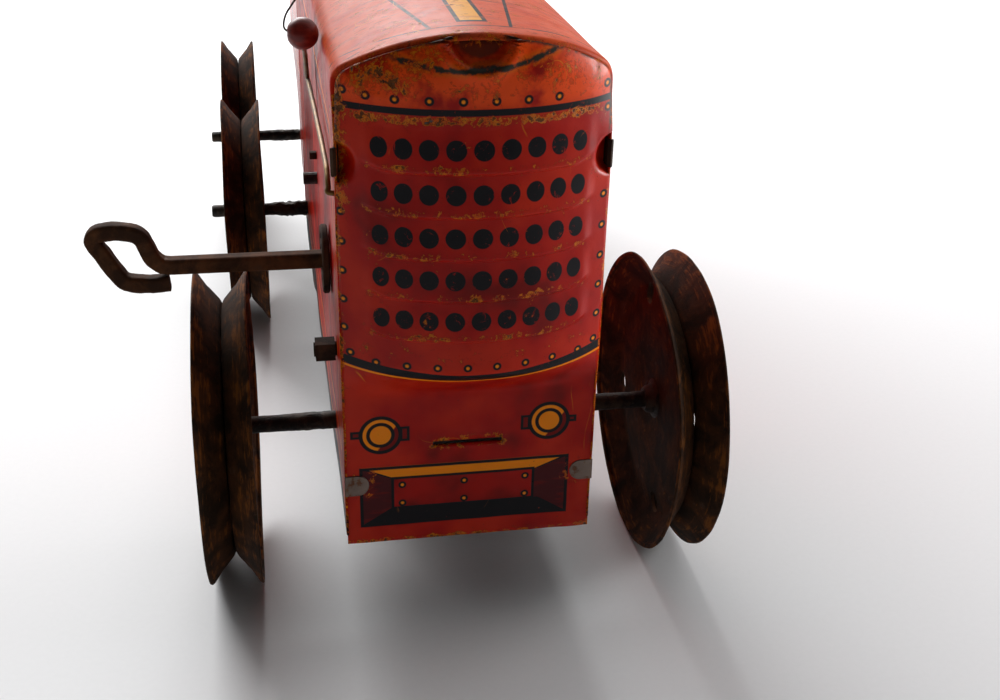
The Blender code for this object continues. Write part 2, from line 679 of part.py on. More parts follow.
def winding_key():
    """Arbor, collar plate and the bent-bar key."""
    arbor = rod(AXLE_R, ARBOR_LEFT, PIVOT_END, ARBOR, 16)
    make_object("winding_arbor", arbor, "grey_steel", ARBOR)
    # The bow's middle line, as distances from the bar's far end and above the arbor's line.
    bow = [(14.6, 0.3), (12.9, 1.9), (12.0, 4.1), (11.0, 6.3), (9.3, 7.5), (5.9, 8.0), (3.0, 7.7), (1.7, 6.7)]
    bow += [(1.8, 5.4), (3.1, 3.2), (5.4, -0.9), (6.8, -2.8), (9.0, -3.6), (12.4, -3.9), (15.6, -3.6)]
    corners = [(KEY_TIP + dx * MM, ARBOR.y, ARBOR.z + dz * MM) for dx, dz in bow]
    shank = [Vector((ARBOR_LEFT - GAP, ARBOR.y, ARBOR.z)), Vector((KEY_BOW, ARBOR.y, ARBOR.z))]
    key = swept(shank + smooth_path(corners, 2), KEY_HALF)
    make_object("winding_key", key, "rusty_steel", ARBOR)
    x1 = -BODY_HALF - GAP
    make_object("key_collar", washer(COLLAR_R, COLLAR_BORE, x1 - COLLAR_THICK, x1, ARBOR, 28), "rusty_steel")


def lever():
    """Wire lever hooked through the hood's side, with a wooden ball and a thin wire tail."""
    x, y, z = LEVER_BACK
    path = [
        (-20 * MM, LEVER_PIVOT.y, LEVER_PIVOT.z),
        (LEVER_X + 0.4 * MM, LEVER_PIVOT.y, LEVER_PIVOT.z),
        (LEVER_X, LEVER_PIVOT.y + 0.6 * MM, LEVER_PIVOT.z + 1.0 * MM),
        (LEVER_X, LEVER_PIVOT.y + 3.0 * MM, LEVER_PIVOT.z + 4.2 * MM),
        (LEVER_X, LEVER_PIVOT.y + 8.0 * MM, z - 0.4 * MM),
        (x, y, z),
        (x - 0.2 * MM, y + 1.4 * MM, z + 1.2 * MM),
        (x - 1.0 * MM, y - 14.0 * MM, z + 10.0 * MM),
        (BALL.x + 0.1 * MM, BALL.y + 2.0 * MM, BALL.z - BALL_R - 0.15 * MM),
    ]
    wire = swept(path, LEVER_R, 8, 0.0, (0.0, 0.0, 1.0))
    make_object("lever_wire", wire, "brass", LEVER_PIVOT)
    bm = bmesh.new()
    bmesh.ops.create_uvsphere(bm, u_segments=16, v_segments=10, radius=BALL_R)
    bmesh.ops.translate(bm, vec=BALL, verts=bm.verts)
    make_object("lever_ball", bm, "red_wood", LEVER_PIVOT)


def main():
    """Build the toy."""
    clear_scene()
    make_materials()
    toy = bpy.data.objects.new("toy", None)
    toy.location = -MIDDLE
    bpy.context.collection.objects.link(toy)
    front_panel()
    hood_shell()
    cab()
    rear_frame()
    for name in AXLES_Y:
        wheel_set(name)
    second, governor = motor_train()
    ratchet()
    mainspring()
    motor_plates(second, governor)
    winding_key()
    lever()


main()
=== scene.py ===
"""Looks for the tin clockwork locomotive: printed tin, rusty stamped wheels and a pale studio."""
import json
import math

import bmesh
import bpy
from mathutils import Matrix, Vector, noise


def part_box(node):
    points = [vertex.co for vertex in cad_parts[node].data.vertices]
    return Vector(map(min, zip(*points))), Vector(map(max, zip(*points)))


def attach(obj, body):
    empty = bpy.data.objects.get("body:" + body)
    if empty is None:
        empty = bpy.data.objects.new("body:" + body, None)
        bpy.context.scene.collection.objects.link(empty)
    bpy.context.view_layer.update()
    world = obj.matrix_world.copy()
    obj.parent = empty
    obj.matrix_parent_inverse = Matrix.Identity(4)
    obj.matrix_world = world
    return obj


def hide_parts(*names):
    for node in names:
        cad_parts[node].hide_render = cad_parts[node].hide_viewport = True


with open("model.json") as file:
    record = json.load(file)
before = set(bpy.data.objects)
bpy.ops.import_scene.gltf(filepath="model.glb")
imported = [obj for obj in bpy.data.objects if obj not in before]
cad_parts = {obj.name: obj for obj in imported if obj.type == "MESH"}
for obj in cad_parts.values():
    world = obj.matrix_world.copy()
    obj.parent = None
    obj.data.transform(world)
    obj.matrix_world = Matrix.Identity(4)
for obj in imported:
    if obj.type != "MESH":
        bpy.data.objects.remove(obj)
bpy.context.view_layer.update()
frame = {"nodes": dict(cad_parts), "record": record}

MM = 0.001

# The toy's own measuring point: the middle of the front axle's line, on the floor.
_low, _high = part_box("front_axle")
AXLE_Z = (_low.z + _high.z) / 2
BASE = Vector(((_low.x + _high.x) / 2, (_low.y + _high.y) / 2, 0.0))

# Body sizes in millimetres from BASE, read back from the frame.
_panel_low, _panel_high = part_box("front_panel")
_hood_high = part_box("hood_shell")[1]
BODY_HALF = (_panel_high.x - _panel_low.x) / 2 / MM
APRON_LOW = _panel_low.z / MM
HOOD_TOP = _hood_high.z / MM
HOOD_BACK = (_hood_high.y - BASE.y) / MM
FRONT_MOST = (_panel_low.y - BASE.y) / MM
WHEEL_R = AXLE_Z / MM
SIDE_TOP = 119.0
SHOULDER_R = 5.0
CROWN = 9.0
FRONT_Y = FRONT_MOST + CROWN
SHELF_LOW = 56.0
SHELF_HIGH = 66.0
TIN = 0.5
RIM_HALF = 5.7
GROOVE_R = 28.4
SHEET = 0.6

# Printed and pressed grille.
DOT_COLUMNS = 9
DOT_ROWS = 5
DOT_MIDDLE = 0.1
DOT_DX = 5.0
DOT_BEND = 0.00026
DOT_Z0 = 76.5
DOT_DZ = 8.3
DOT_R = 1.9
LIP_Z0 = 72.0
LIP_DZ = 8.25
FIELD_MIDDLE = 0.3
FIELD_HALF = 21.6
FIELD_TOP = 114.2
RECESS_Z = 105.6
RECESS_R = 3.9
DIMPLE_R = 6.2
STRIPE_TOP_Z = 116.4
SLOT = (-7.6, 6.3, 44.9, 45.9)
TAB_Z = (34.2, 38.8)
TAB_REACH = 5.0
LEVER_SLOT_Y = (31.0, 33.0)
LEVER_SLOT_Z = (90.0, 112.0)


def to_world(x, y, z):
    """A point given in millimetres from BASE, in the frame's metres."""
    return BASE + Vector((x, y, z)) * MM


def smooth(low, high, value):
    """0 below low, 1 above high, an S-curve between."""
    t = min(max((value - low) / (high - low), 0.0), 1.0)
    return t * t * (3 - 2 * t)


# ------------------------------------------------------------ paint by arithmetic

class Field:
    """A number that varies over a surface: a socket, with arithmetic."""

    def __init__(self, paint, socket):
        self.paint = paint
        self.socket = socket

    def _do(self, operation, *others, swap=False):
        values = [self, *others]
        if swap:
            values.reverse()
        return self.paint.math(operation, *values)

    def __add__(self, other):
        return self._do("ADD", other)

    __radd__ = __add__

    def __sub__(self, other):
        return self._do("SUBTRACT", other)

    def __rsub__(self, other):
        return self._do("SUBTRACT", other, swap=True)

    def __mul__(self, other):
        return self._do("MULTIPLY", other)

    __rmul__ = __mul__

    def __truediv__(self, other):
        return self._do("DIVIDE", other)

    def max(self, other):
        return self._do("MAXIMUM", other)

    def min(self, other):
        return self._do("MINIMUM", other)

    def abs(self):
        return self._do("ABSOLUTE")

    def nearest(self, start, step, count):
        """Distance to the nearest of `count` values that begin at start."""
        index = ((self - start) / step)._do("ROUND").max(0.0).min(count - 1.0)
        return (self - (index * step + start)).abs()


def hypot(a, b):
    """Distance from the two sides."""
    return (a * a + b * b)._do("SQRT")


class Paint:
    """One node material, built from arithmetic on the toy's own millimetres."""

    def __init__(self, name, local=False):
        self.material = bpy.data.materials.new(name)
        self.material.use_nodes = True
        self.nodes = self.material.node_tree.nodes
        self.links = self.material.node_tree.links
        self.shader = self.nodes["Principled BSDF"]
        coords = self.nodes.new("ShaderNodeTexCoord")
        shift = self.nodes.new("ShaderNodeVectorMath")
        shift.operation = "SUBTRACT"
        self.links.new(coords.outputs["Object"], shift.inputs[0])
        shift.inputs[1].default_value = (0.0, 0.0, 0.0) if local else BASE
        scale = self.nodes.new("ShaderNodeVectorMath")
        scale.operation = "SCALE"
        scale.inputs["Scale"].default_value = 1.0 / MM
        self.links.new(shift.outputs[0], scale.inputs[0])
        self.point = scale.outputs[0]
        split = self.nodes.new("ShaderNodeSeparateXYZ")
        self.links.new(self.point, split.inputs[0])
        if local:
            self.point = self._spread(self.point)
        self.x = Field(self, split.outputs[0])
        self.y = Field(self, split.outputs[1])
        self.z = Field(self, split.outputs[2])

    def _spread(self, point):
        """Give each object its own patch of the pattern, from its place."""
        info = self.nodes.new("ShaderNodeObjectInfo")
        far = self.nodes.new("ShaderNodeVectorMath")
        far.operation = "MULTIPLY_ADD"
        far.inputs[1].default_value = (7100.0, 5300.0, 3700.0)
        self.links.new(info.outputs["Location"], far.inputs[0])
        self.links.new(point, far.inputs[2])
        return far.outputs[0]

    def _feed(self, value, socket):
        if isinstance(value, Field):
            self.links.new(value.socket, socket)
        elif isinstance(value, bpy.types.NodeSocket):
            self.links.new(value, socket)
        elif isinstance(value, tuple):
            add_alpha = len(value) == 3 and len(socket.default_value) == 4
            socket.default_value = (*value, 1.0) if add_alpha else value
        else:
            socket.default_value = value

    def math(self, operation, *values):
        node = self.nodes.new("ShaderNodeMath")
        node.operation = operation
        for value, socket in zip(values, node.inputs):
            self._feed(value, socket)
        return Field(self, node.outputs[0])

    def step(self, value, low, high, start=0.0, end=1.0):
        """Smoothly from start to end while value goes from low to high."""
        node = self.nodes.new("ShaderNodeMapRange")
        node.interpolation_type = "SMOOTHSTEP"
        self._feed(value, node.inputs["Value"])
        turned_round = low > high
        if turned_round:
            low, high, start, end = high, low, end, start
        node.inputs["From Min"].default_value = low
        node.inputs["From Max"].default_value = high
        node.inputs["To Min"].default_value = start
        node.inputs["To Max"].default_value = end
        return Field(self, node.outputs["Result"])

    def inside(self, distance, soft=0.08):
        """1 where a signed distance is below zero."""
        return self.step(distance, soft, -soft)

    def noise(self, size, detail=4.0, roughness=0.55, stretch=None, distortion=0.0):
        """Noise with features about `size` millimetres across."""
        node = self.nodes.new("ShaderNodeTexNoise")
        point = self.point
        if stretch:
            mapping = self.nodes.new("ShaderNodeVectorMath")
            mapping.operation = "MULTIPLY"
            mapping.inputs[1].default_value = stretch
            self.links.new(point, mapping.inputs[0])
            point = mapping.outputs[0]
        self.links.new(point, node.inputs["Vector"])
        node.inputs["Scale"].default_value = 1.0 / size
        node.inputs["Detail"].default_value = detail
        node.inputs["Roughness"].default_value = roughness
        node.inputs["Distortion"].default_value = distortion
        return Field(self, node.outputs["Fac"])

    def ring_noise(self, size, run, detail=5.0, roughness=0.65):
        """Noise in streaks round the X axis, `size` across and `run` times longer."""
        node = self.nodes.new("ShaderNodeTexNoise")
        radius = hypot(self.y, self.z)
        along = self.y._do("ARCTAN2", self.z) * (WHEEL_R / run)
        join = self.nodes.new("ShaderNodeCombineXYZ")
        for value, socket in zip((self.x, radius, along), join.inputs):
            self._feed(value, socket)
        self.links.new(self._spread(join.outputs[0]), node.inputs["Vector"])
        node.inputs["Scale"].default_value = 1.0 / size
        node.inputs["Detail"].default_value = detail
        node.inputs["Roughness"].default_value = roughness
        return Field(self, node.outputs["Fac"])

    def mix(self, share, first, second):
        """A colour between two colours."""
        node = self.nodes.new("ShaderNodeMix")
        node.data_type = "RGBA"
        self._feed(share, node.inputs[0])
        self._feed(first, node.inputs[6])
        self._feed(second, node.inputs[7])
        return node.outputs[2]

    def bump(self, height, depth_mm, strength=1.0):
        """Fine relief."""
        node = self.nodes.new("ShaderNodeBump")
        node.inputs["Strength"].default_value = strength
        node.inputs["Distance"].default_value = depth_mm * MM
        self._feed(height, node.inputs["Height"])
        self.links.new(node.outputs["Normal"], self.shader.inputs["Normal"])

    def finish(self, colour, roughness, metallic=0.0, coat=0.0, coat_roughness=0.2, specular=0.5):
        names = {"Base Color": colour, "Roughness": roughness, "Metallic": metallic,
                 "Coat Weight": coat, "Coat Roughness": coat_roughness, "Specular IOR Level": specular}
        for name, value in names.items():
            self._feed(value, self.shader.inputs[name])
        return self.material


RED = (0.40, 0.005, 0.001)
RED_LIGHT = (0.54, 0.020, 0.003)
RED_DARK = (0.19, 0.003, 0.001)
# Orange-red used as painted light on the nose's top.
RED_ORANGE_PAINTED_LIGHT = (0.86, 0.078, 0.004)
RED_PALE = (0.62, 0.078, 0.014)
MAROON = (0.075, 0.004, 0.006)
INK = (0.006, 0.005, 0.007)
GOLD = (0.98, 0.27, 0.002)
PRIMER = (0.66, 0.19, 0.004)
ORANGE = (0.62, 0.10, 0.003)
RUST = (0.15, 0.048, 0.010)
RUST_DARK = (0.030, 0.012, 0.006)
LEAD = (0.085, 0.080, 0.075)


def rivets(paint, distance, colour):
    """A printed rivet head: black ring, gold middle."""
    colour = paint.mix(paint.inside(distance - 0.84, 0.10), colour, INK)
    return paint.mix(paint.inside(distance - 0.34, 0.12), colour, GOLD)


def box_distance(u, v, u0, v0, u1, v1):
    """Signed distance-like value of a rectangle, negative inside."""
    du = (u - (u0 + u1) / 2).abs() - (u1 - u0) / 2
    dv = (v - (v0 + v1) / 2).abs() - (v1 - v0) / 2
    return du.max(dv)


def red_ground(paint):
    """Red litho ink with a little unevenness."""
    broad = paint.noise(16.0, 3.0)
    fine = paint.noise(0.7, 3.0, 0.7)
    colour = paint.mix(paint.step(broad, 0.42, 0.66), RED, RED_LIGHT)
    colour = paint.mix(paint.step(broad, 0.46, 0.30), colour, RED_DARK)
    return paint.mix(paint.step(fine, 0.62, 0.80, 0.0, 0.35), colour, RED_DARK)


def wear(paint, colour, amount):
    """Chips through red to gold primer, brown rust and lead-grey tin, where `amount` is high."""
    patch = paint.noise(3.6, 7.0, 0.70, distortion=0.7)
    grain = paint.noise(0.9, 5.0, 0.72)
    level = patch * 0.58 + grain * 0.42 + amount
    primer = paint.step(level, 0.610, 0.655)
    rust = paint.step(level + (paint.noise(1.7, 5.0, 0.7) - 0.5) * 0.25, 0.665, 0.70)
    bare = paint.step(level + (paint.noise(2.6, 4.0) - 0.5) * 0.5, 0.755, 0.78)
    colour = paint.mix(paint.step(level, 0.565, 0.63, 0.0, 0.55), colour, RED_DARK)
    undercoat = paint.mix(paint.step(paint.noise(2.2, 4.0, 0.7), 0.42, 0.58), ORANGE, PRIMER)
    colour = paint.mix(primer * 0.85, colour, undercoat)
    colour = paint.mix(rust, colour, paint.mix(paint.step(grain, 0.42, 0.6), RUST_DARK, RUST))
    colour = paint.mix(bare, colour, LEAD)
    specks = paint.step(paint.noise(0.42, 2.0, 0.6), 0.70, 0.74) * paint.step(patch, 0.44, 0.56)
    colour = paint.mix(specks * 0.75, colour, RUST_DARK)
    return colour, rust.max(specks * 0.5), bare


def scratches(paint, colour):
    """Fine pale scratches through the ink."""
    line = paint.noise(15.0, 1.0, 0.4, stretch=(1.0, 1.0, 0.4), distortion=0.9)
    gate = paint.step(paint.noise(11.0, 2.0), 0.57, 0.66)
    thin = paint.step((line - 0.5).abs(), 0.0030, 0.0012)
    return paint.mix(thin * gate * 0.75, colour, PRIMER)


def tin_finish(paint, colour, rust, bare, gloss=0.34, varnish=0.07, specular=0.12):
    """Varnished ink, dull where it has rusted, with slight waves in the tin."""
    rough = (paint.noise(3.0, 4.0) - 0.5) * 0.25 + gloss
    rough = rough + rust * 0.30 - bare * 0.12
    relief = paint.noise(22.0, 2.0) * 1.2 + paint.noise(0.8, 4.0) * 0.06 - rust * 0.10
    paint.bump(relief, 1.0, 0.5)
    return paint.finish(colour, rough, bare * 0.8, (1.0 - rust) * varnish, 0.16, specular)


def headlight(paint, colour, x0, z0, lug_left, lug_right):
    """Printed lamp: black rim, half gold and half red ring, black ring and a gold lens, with two lugs."""
    x = paint.x
    z = paint.z
    for lug in (lug_left, lug_right):
        outer = box_distance(x, z, *lug)
        colour = paint.mix(paint.inside(outer), colour, INK)
        colour = paint.mix(paint.inside(outer + 0.55), colour, RED_DARK)
    distance = hypot(x - x0, z - z0)
    colour = paint.mix(paint.inside(distance - 4.4), colour, INK)
    half = paint.step((x - x0) * 0.8 - (z - z0) * 0.55, 1.3, 1.6)
    ring = paint.mix(half, GOLD, RED_DARK)
    colour = paint.mix(paint.inside((distance - 3.25).abs() - 0.36), colour, ring)
    return paint.mix(paint.inside(distance - 2.15), colour, GOLD)


def bumper(paint, colour):
    """Printed bumper: a bevelled bar, gold above, black below, maroon ends and a red face with rivets."""
    x = paint.x
    z = paint.z
    x0, x1, z0, z1 = -23.0, 20.8, 26.2, 40.5
    i0, i1, j0, j1 = -16.2, 13.3, 30.4, 37.6
    outer = box_distance(x, z, x0, z0, x1, z1)
    inner = box_distance(x, z, i0, j0, i1, j1)
    slope = (i0 - x0) / (z1 - j1)
    left_top = (x - x0) - (z1 - z) * slope
    right_top = (x1 - x) - (z1 - z) * slope
    low_slope = (i0 - x0) / (j0 - z0)
    left_low = (x - x0) - (z - z0) * low_slope
    right_low = (x1 - x) - (z - z0) * low_slope
    top = paint.inside(-1.0 * left_top) * paint.inside(-1.0 * right_top) * paint.inside(j1 - z)
    low = paint.inside(-1.0 * left_low) * paint.inside(-1.0 * right_low) * paint.inside(z - j0)
    streak = paint.step(paint.noise(5.0, 3.0, stretch=(0.5, 1.0, 2.5)), 0.5, 0.62, 0.0, 0.5)
    art = paint.mix(streak, MAROON, RED_DARK)
    art = paint.mix(top, art, GOLD)
    art = paint.mix(low, art, INK)
    above = paint.inside(j1 - z)
    below = paint.inside(z - j0)
    for edge, region in ((left_top, above), (right_top, above), (left_low, below), (right_low, below)):
        art = paint.mix(paint.inside(edge.abs() - 0.42) * region, art, INK)
    face = paint.mix(paint.step(paint.noise(9.0, 2.0), 0.4, 0.7), RED, RED_DARK)
    face = rivets(paint, hypot(x.nearest(-14.2, 12.9, 3), z.nearest(31.5, 4.4, 2)), face)
    art = paint.mix(paint.inside(inner), art, face)
    art = paint.mix(paint.inside(inner.abs() - 0.3), art, INK)
    art = paint.mix(paint.inside((outer + 0.35).abs() - 0.35), art, INK)
    return paint.mix(paint.inside(outer), colour, art)


def front_paint():
    """The grille and apron print, with painted light on the nose's top and painted shade in the dimple under
    the hood's edge.
    """
    paint = Paint("printed_front")
    x = paint.x
    z = paint.z
    colour = red_ground(paint)
    run = x - DOT_MIDDLE
    run = run + run * run * run * DOT_BEND
    first_dot = -DOT_DX * (DOT_COLUMNS - 1) / 2
    dots = hypot(run.nearest(first_dot, DOT_DX, DOT_COLUMNS), z.nearest(DOT_Z0, DOT_DZ, DOT_ROWS))
    # Painted light: the nose's upper part, which faces up towards the light, is painted a lighter orange-red
    # in patches.
    nose = paint.step(z, 114.0, 119.0, 0.0, 0.9)
    colour = paint.mix(nose * paint.step(paint.noise(8.0, 4.0), 0.34, 0.52), colour, RED_ORANGE_PAINTED_LIGHT)
    edge = (paint.noise(1.6, 2.0) - 0.5) * 0.14
    dot_share = paint.inside(dots + edge - DOT_R, 0.09)
    scuffed = paint.step(paint.noise(2.4, 6.0, 0.75, distortion=1.0), 0.60, 0.66, 1.0, 0.25)
    colour = paint.mix(dot_share * scuffed, colour, INK)

    top_row = hypot(x.nearest(-15.4, 5.85, 6), z - 118.4)
    corners = hypot(x.abs() - 24.2, z - 119.0)
    shoulder = hypot(x + 20.3, z - 118.6)
    left = hypot(x + 25.1, z.nearest(73.0, 5.85, 5))
    right = hypot(x - 24.5, z.nearest(73.2, 6.2, 5))
    upper_right = hypot(x - 24.5, z - 114.6)
    low_row = hypot(x.nearest(-19.4, 5.7, 8), z - 66.6)
    low_corners = hypot(x.abs() - 24.1, z - 67.8)
    for row in (top_row, corners, shoulder, left, right, upper_right, low_row, low_corners):
        colour = rivets(paint, row, colour)

    ragged = (paint.noise(1.6, 5.0, 0.7) - 0.5) * 0.9
    stripe = (z - STRIPE_TOP_Z).abs() - 0.62
    colour = paint.mix(paint.inside(stripe), colour, INK)
    rise = x + 3.0
    worn_line = (z - 123.7 - rise * rise * 0.0115).abs() - 0.5 + ragged * 1.7
    worn_part = paint.step(paint.noise(4.5, 3.0), 0.38, 0.46) * paint.step((x + 0.5).abs(), 16.5, 14.0)
    colour = paint.mix(paint.inside(worn_line - 0.7, 0.5) * worn_part * 0.8, colour, ORANGE)
    colour = paint.mix(paint.inside(worn_line, 0.25) * worn_part, colour, (0.030, 0.028, 0.020))
    dimple = hypot(x + 0.5, z - HOOD_TOP)
    worn_dimple = paint.step(dimple + ragged, DIMPLE_R - 1.2, DIMPLE_R - 2.0, 0.0, 0.9)
    colour = paint.mix(worn_dimple, colour, (0.12, 0.024, 0.010))
    # Painted shade: near-black at the dimple's top, under the hood's edge.
    under_hood_shade = worn_dimple * paint.step(z, HOOD_TOP - 2.6, HOOD_TOP - 1.4)
    colour = paint.mix(under_hood_shade, colour, (0.018, 0.012, 0.010))
    arch_edge = (hypot(x, z - HOOD_TOP + ARCH_R) - ARCH_R) * -1.0
    seam = arch_edge.min(x.abs() * -1.0 + BODY_HALF) - 0.85
    seam_dark = paint.inside(seam - 0.3 + ragged * 0.7, 0.3) * paint.step(paint.noise(4.0, 3.0), 0.36, 0.46)
    colour = paint.mix(seam_dark * paint.step(z, 100.0, 112.0), colour, (0.050, 0.030, 0.016))

    bow = x * x * 0.0036
    gold_line = (z - 62.7 - bow).abs() - 0.24
    black_low = (z - 63.95 - bow).abs() - 0.95
    on_grille = paint.step(z, 58.0, 58.5)
    colour = paint.mix(paint.inside(black_low) * on_grille, colour, INK)
    colour = paint.mix(paint.inside(gold_line) * on_grille, colour, GOLD)

    colour = headlight(paint, colour, -18.5, 48.0, (-24.6, 47.4, -22.4, 49.2), (-14.6, 46.3, -12.6, 49.7))
    colour = headlight(paint, colour, 16.2, 48.8, (10.3, 47.0, 12.3, 50.4), (20.1, 48.2, 22.0, 49.8))
    colour = bumper(paint, colour)
    colour = scratches(paint, colour)

    lip = z.nearest(LIP_Z0 + 1.0, LIP_DZ, 5)
    lip_wear = paint.step(lip, 1.5, 0.3, 0.0, 0.092) * paint.step((x - FIELD_MIDDLE).abs(), 22.0, 20.5)
    nose_wear = paint.step(z, 116.6, 120.5, 0.0, 0.060) + paint.step(z, 120.5, 127.0, 0.0, 0.015)
    nose_wear = nose_wear + paint.step(x, -6.0, -19.0, 0.0, 0.065) * paint.step(z, 117.0, 120.0)
    under_stripe = paint.step((z - 114.9).abs(), 1.4, 0.4, 0.0, 0.155) * paint.step(x.abs(), 25.0, 21.0)
    left_edge = paint.step(x, -22.6, -25.0, 0.0, 0.17) * paint.step(z, 92.0, 100.0)
    sides = paint.step(x.abs(), 24.6, 25.8, 0.0, 0.12)
    hem = paint.step(z, APRON_LOW + 1.8, APRON_LOW + 0.3, 0.0, 0.19)
    slot_edge = box_distance(x, z, SLOT[0], SLOT[2], SLOT[1], SLOT[3])
    slot_wear = paint.step(slot_edge, 2.4, 0.3, 0.0, 0.15)
    tabs = box_distance(x.abs(), z, 20.6, TAB_Z[0], 27.0, TAB_Z[1])
    tab_wear = paint.step(tabs, 2.0, 0.2, 0.0, 0.12)
    shelf = paint.step((z - 69.5).abs(), 2.5, 0.5, 0.0, 0.045)
    low_gate = paint.step(z, 60.0, 68.0, -0.045, 0.0)
    amount = lip_wear.max(nose_wear).max(under_stripe).max(left_edge).max(sides)
    amount = amount.max(hem).max(slot_wear).max(tab_wear).max(shelf) + low_gate
    colour, rust, bare = wear(paint, colour, amount)
    return tin_finish(paint, colour, rust, bare)


def side_paint(name="printed_hood"):
    """The hood's sides and top: red with lining, a black foot band and a gold strip on the top."""
    paint = Paint(name)
    x = paint.x
    y = paint.y
    z = paint.z
    colour = red_ground(paint)
    on_top = paint.step(z, SIDE_TOP + 1.0, SIDE_TOP + 2.0)
    on_side = 1.0 - on_top
    # The top is a paler red in patches than the sides.
    paler_top = paint.step(paint.noise(9.0, 4.0), 0.30, 0.55, 0.5, 1.0)
    colour = paint.mix(paler_top * on_top, colour, RED_PALE)
    middle = x + 0.6
    from_front = y + crown_field(paint) - FRONT_Y
    back = paint.step(from_front, 12.2, 12.5)
    strip = paint.inside(middle.abs() - 2.8) * paint.step(from_front, 11.0, 11.3) * on_top
    colour = paint.mix(strip, colour, INK)
    colour = paint.mix(paint.inside(middle.abs() - 2.0) * back * on_top, colour, (0.80, 0.34, 0.028))
    band = paint.inside((from_front - 8.2).abs() - 0.32) * paint.step(paint.noise(4.0, 4.0), 0.36, 0.46)
    colour = paint.mix(band * on_top, colour, (0.020, 0.014, 0.012))
    spread = (y + 30.0) * 0.13
    lines = ((x + 1.2).abs() - spread - 7.3).abs() - 0.34
    lined = on_top * paint.step(y, 62.0, 60.0) * paint.step(from_front, 8.2, 8.5)
    colour = paint.mix(paint.inside(lines) * lined, colour, INK)
    long_lines = (x.abs() - 21.5).abs() - 0.3
    colour = paint.mix(paint.inside(long_lines) * on_top * paint.step(y, 60.0, 62.0), colour, INK)

    foot = paint.inside(z - 29.5) * on_side
    colour = paint.mix(foot, colour, INK)
    lining = ((z - 31.6).abs() - 0.28).min(box_distance(y, z, -22.0, 40.0, 148.0, 110.0).abs() - 0.3)
    colour = paint.mix(paint.inside(lining) * on_side, colour, GOLD)
    panel = box_distance(y, z, -19.5, 42.5, 145.5, 107.5)
    colour = paint.mix(paint.inside(panel.abs() - 0.45) * on_side, colour, INK)
    louvres = box_distance(y.nearest(70.0, 5.2, 11), z - 75.0, -1.3, -20.0, 1.3, 20.0)
    colour = paint.mix(paint.inside(louvres) * on_side, colour, INK)
    rivet_row = hypot(y.nearest(-25.0, 9.05, 21), z - 113.6)
    colour = paint.mix(on_side, colour, rivets(paint, rivet_row, colour))

    brushed = paint.noise(7.0, 5.0, 0.65, stretch=(0.35, 2.2, 1.0))
    rub = paint.step(brushed, 0.50, 0.66, 0.0, 0.5) * on_top
    colour = paint.mix(rub, colour, (0.42, 0.060, 0.025))
    drag = paint.noise(3.2, 6.0, 0.72, stretch=(0.55, 2.0, 1.0), distortion=0.8)
    colour = paint.mix(paint.step(drag, 0.585, 0.66, 0.0, 0.85) * on_top, colour, (0.10, 0.028, 0.012))
    foot_wear = paint.step(z, 27.0, 20.0, 0.0, 0.08)
    front_wear = paint.step(from_front, 3.6, 1.6, 0.0, 0.13)
    rubbed = paint.noise(6.0, 5.0, 0.65, stretch=(0.5, 1.6, 1.0))
    top_wear = on_top * paint.step(rubbed, 0.46, 0.62, 0.01, 0.10)
    corner = paint.step((z - SIDE_TOP - 2.6).abs(), 2.2, 0.4, 0.0, 0.03)
    colour = scratches(paint, colour)
    colour, rust, bare = wear(paint, colour, foot_wear.max(front_wear).max(top_wear).max(corner))
    return tin_finish(paint, colour, rust, bare, 0.40, 0.0, 0.05)


def crown_field(paint):
    """The grille's bulge, so wear can follow the hood's front edge."""
    return (1.0 - paint.x * paint.x / (BODY_HALF * BODY_HALF)) * CROWN


def cab_paint():
    """Cab walls: red, lined in gold and black round the windows, rivets along the edges."""
    paint = Paint("printed_cab")
    y = paint.y
    z = paint.z
    x = paint.x
    colour = red_ground(paint)
    side = paint.step(x.abs(), BODY_HALF - 0.7, BODY_HALF - 0.4)
    window = box_distance(y, z, 182.0, 108.0, 228.0, 140.0)
    colour = paint.mix(paint.inside((window - 1.6).abs() - 0.9) * side, colour, INK)
    colour = paint.mix(paint.inside((window - 3.4).abs() - 0.35) * side, colour, GOLD)
    panel = box_distance(y, z, 165.0, 70.0, 246.0, 100.0)
    colour = paint.mix(paint.inside(panel.abs() - 0.45) * side, colour, INK)
    colour = paint.mix(paint.inside((panel + 2.0).abs() - 0.3) * side, colour, GOLD)
    door = box_distance(y, z, 231.5, 66.0, 249.0, 146.0)
    colour = paint.mix(paint.inside(door.abs() - 0.3) * side, colour, RED_DARK)
    row = hypot(y.nearest(161.5, 9.8, 10), z - 147.0)
    colour = paint.mix(side, colour, rivets(paint, row, colour))
    ports = hypot(x.abs() - 14.0, z - 139.0)
    front = 1.0 - side
    colour = paint.mix(paint.inside((ports - 7.0).abs() - 0.8) * front, colour, INK)
    colour = paint.mix(paint.inside((ports - 8.6).abs() - 0.3) * front, colour, GOLD)
    colour = scratches(paint, colour)
    edge = paint.step(z, 66.0, 62.0, 0.0, 0.08).max(paint.step(z, 148.5, 149.8, 0.0, 0.10))
    edge = edge.max(paint.step(y, 250.5, 251.8, 0.0, 0.10)).max(paint.step(window, 0.9, 0.1, 0.0, 0.09))
    colour, rust, bare = wear(paint, colour, edge - 0.03)
    return tin_finish(paint, colour, rust, bare, 0.30)


def plain_tin_paint(name, deep, light):
    """Tin in one ink, worn at random."""
    paint = Paint(name)
    broad = paint.noise(15.0, 3.0)
    colour = paint.mix(paint.step(broad, 0.40, 0.65), deep, light)
    colour = scratches(paint, colour)
    colour, rust, bare = wear(paint, colour, paint.step(broad, 0.55, 0.75, -0.03, 0.05))
    return tin_finish(paint, colour, rust, bare, 0.32)


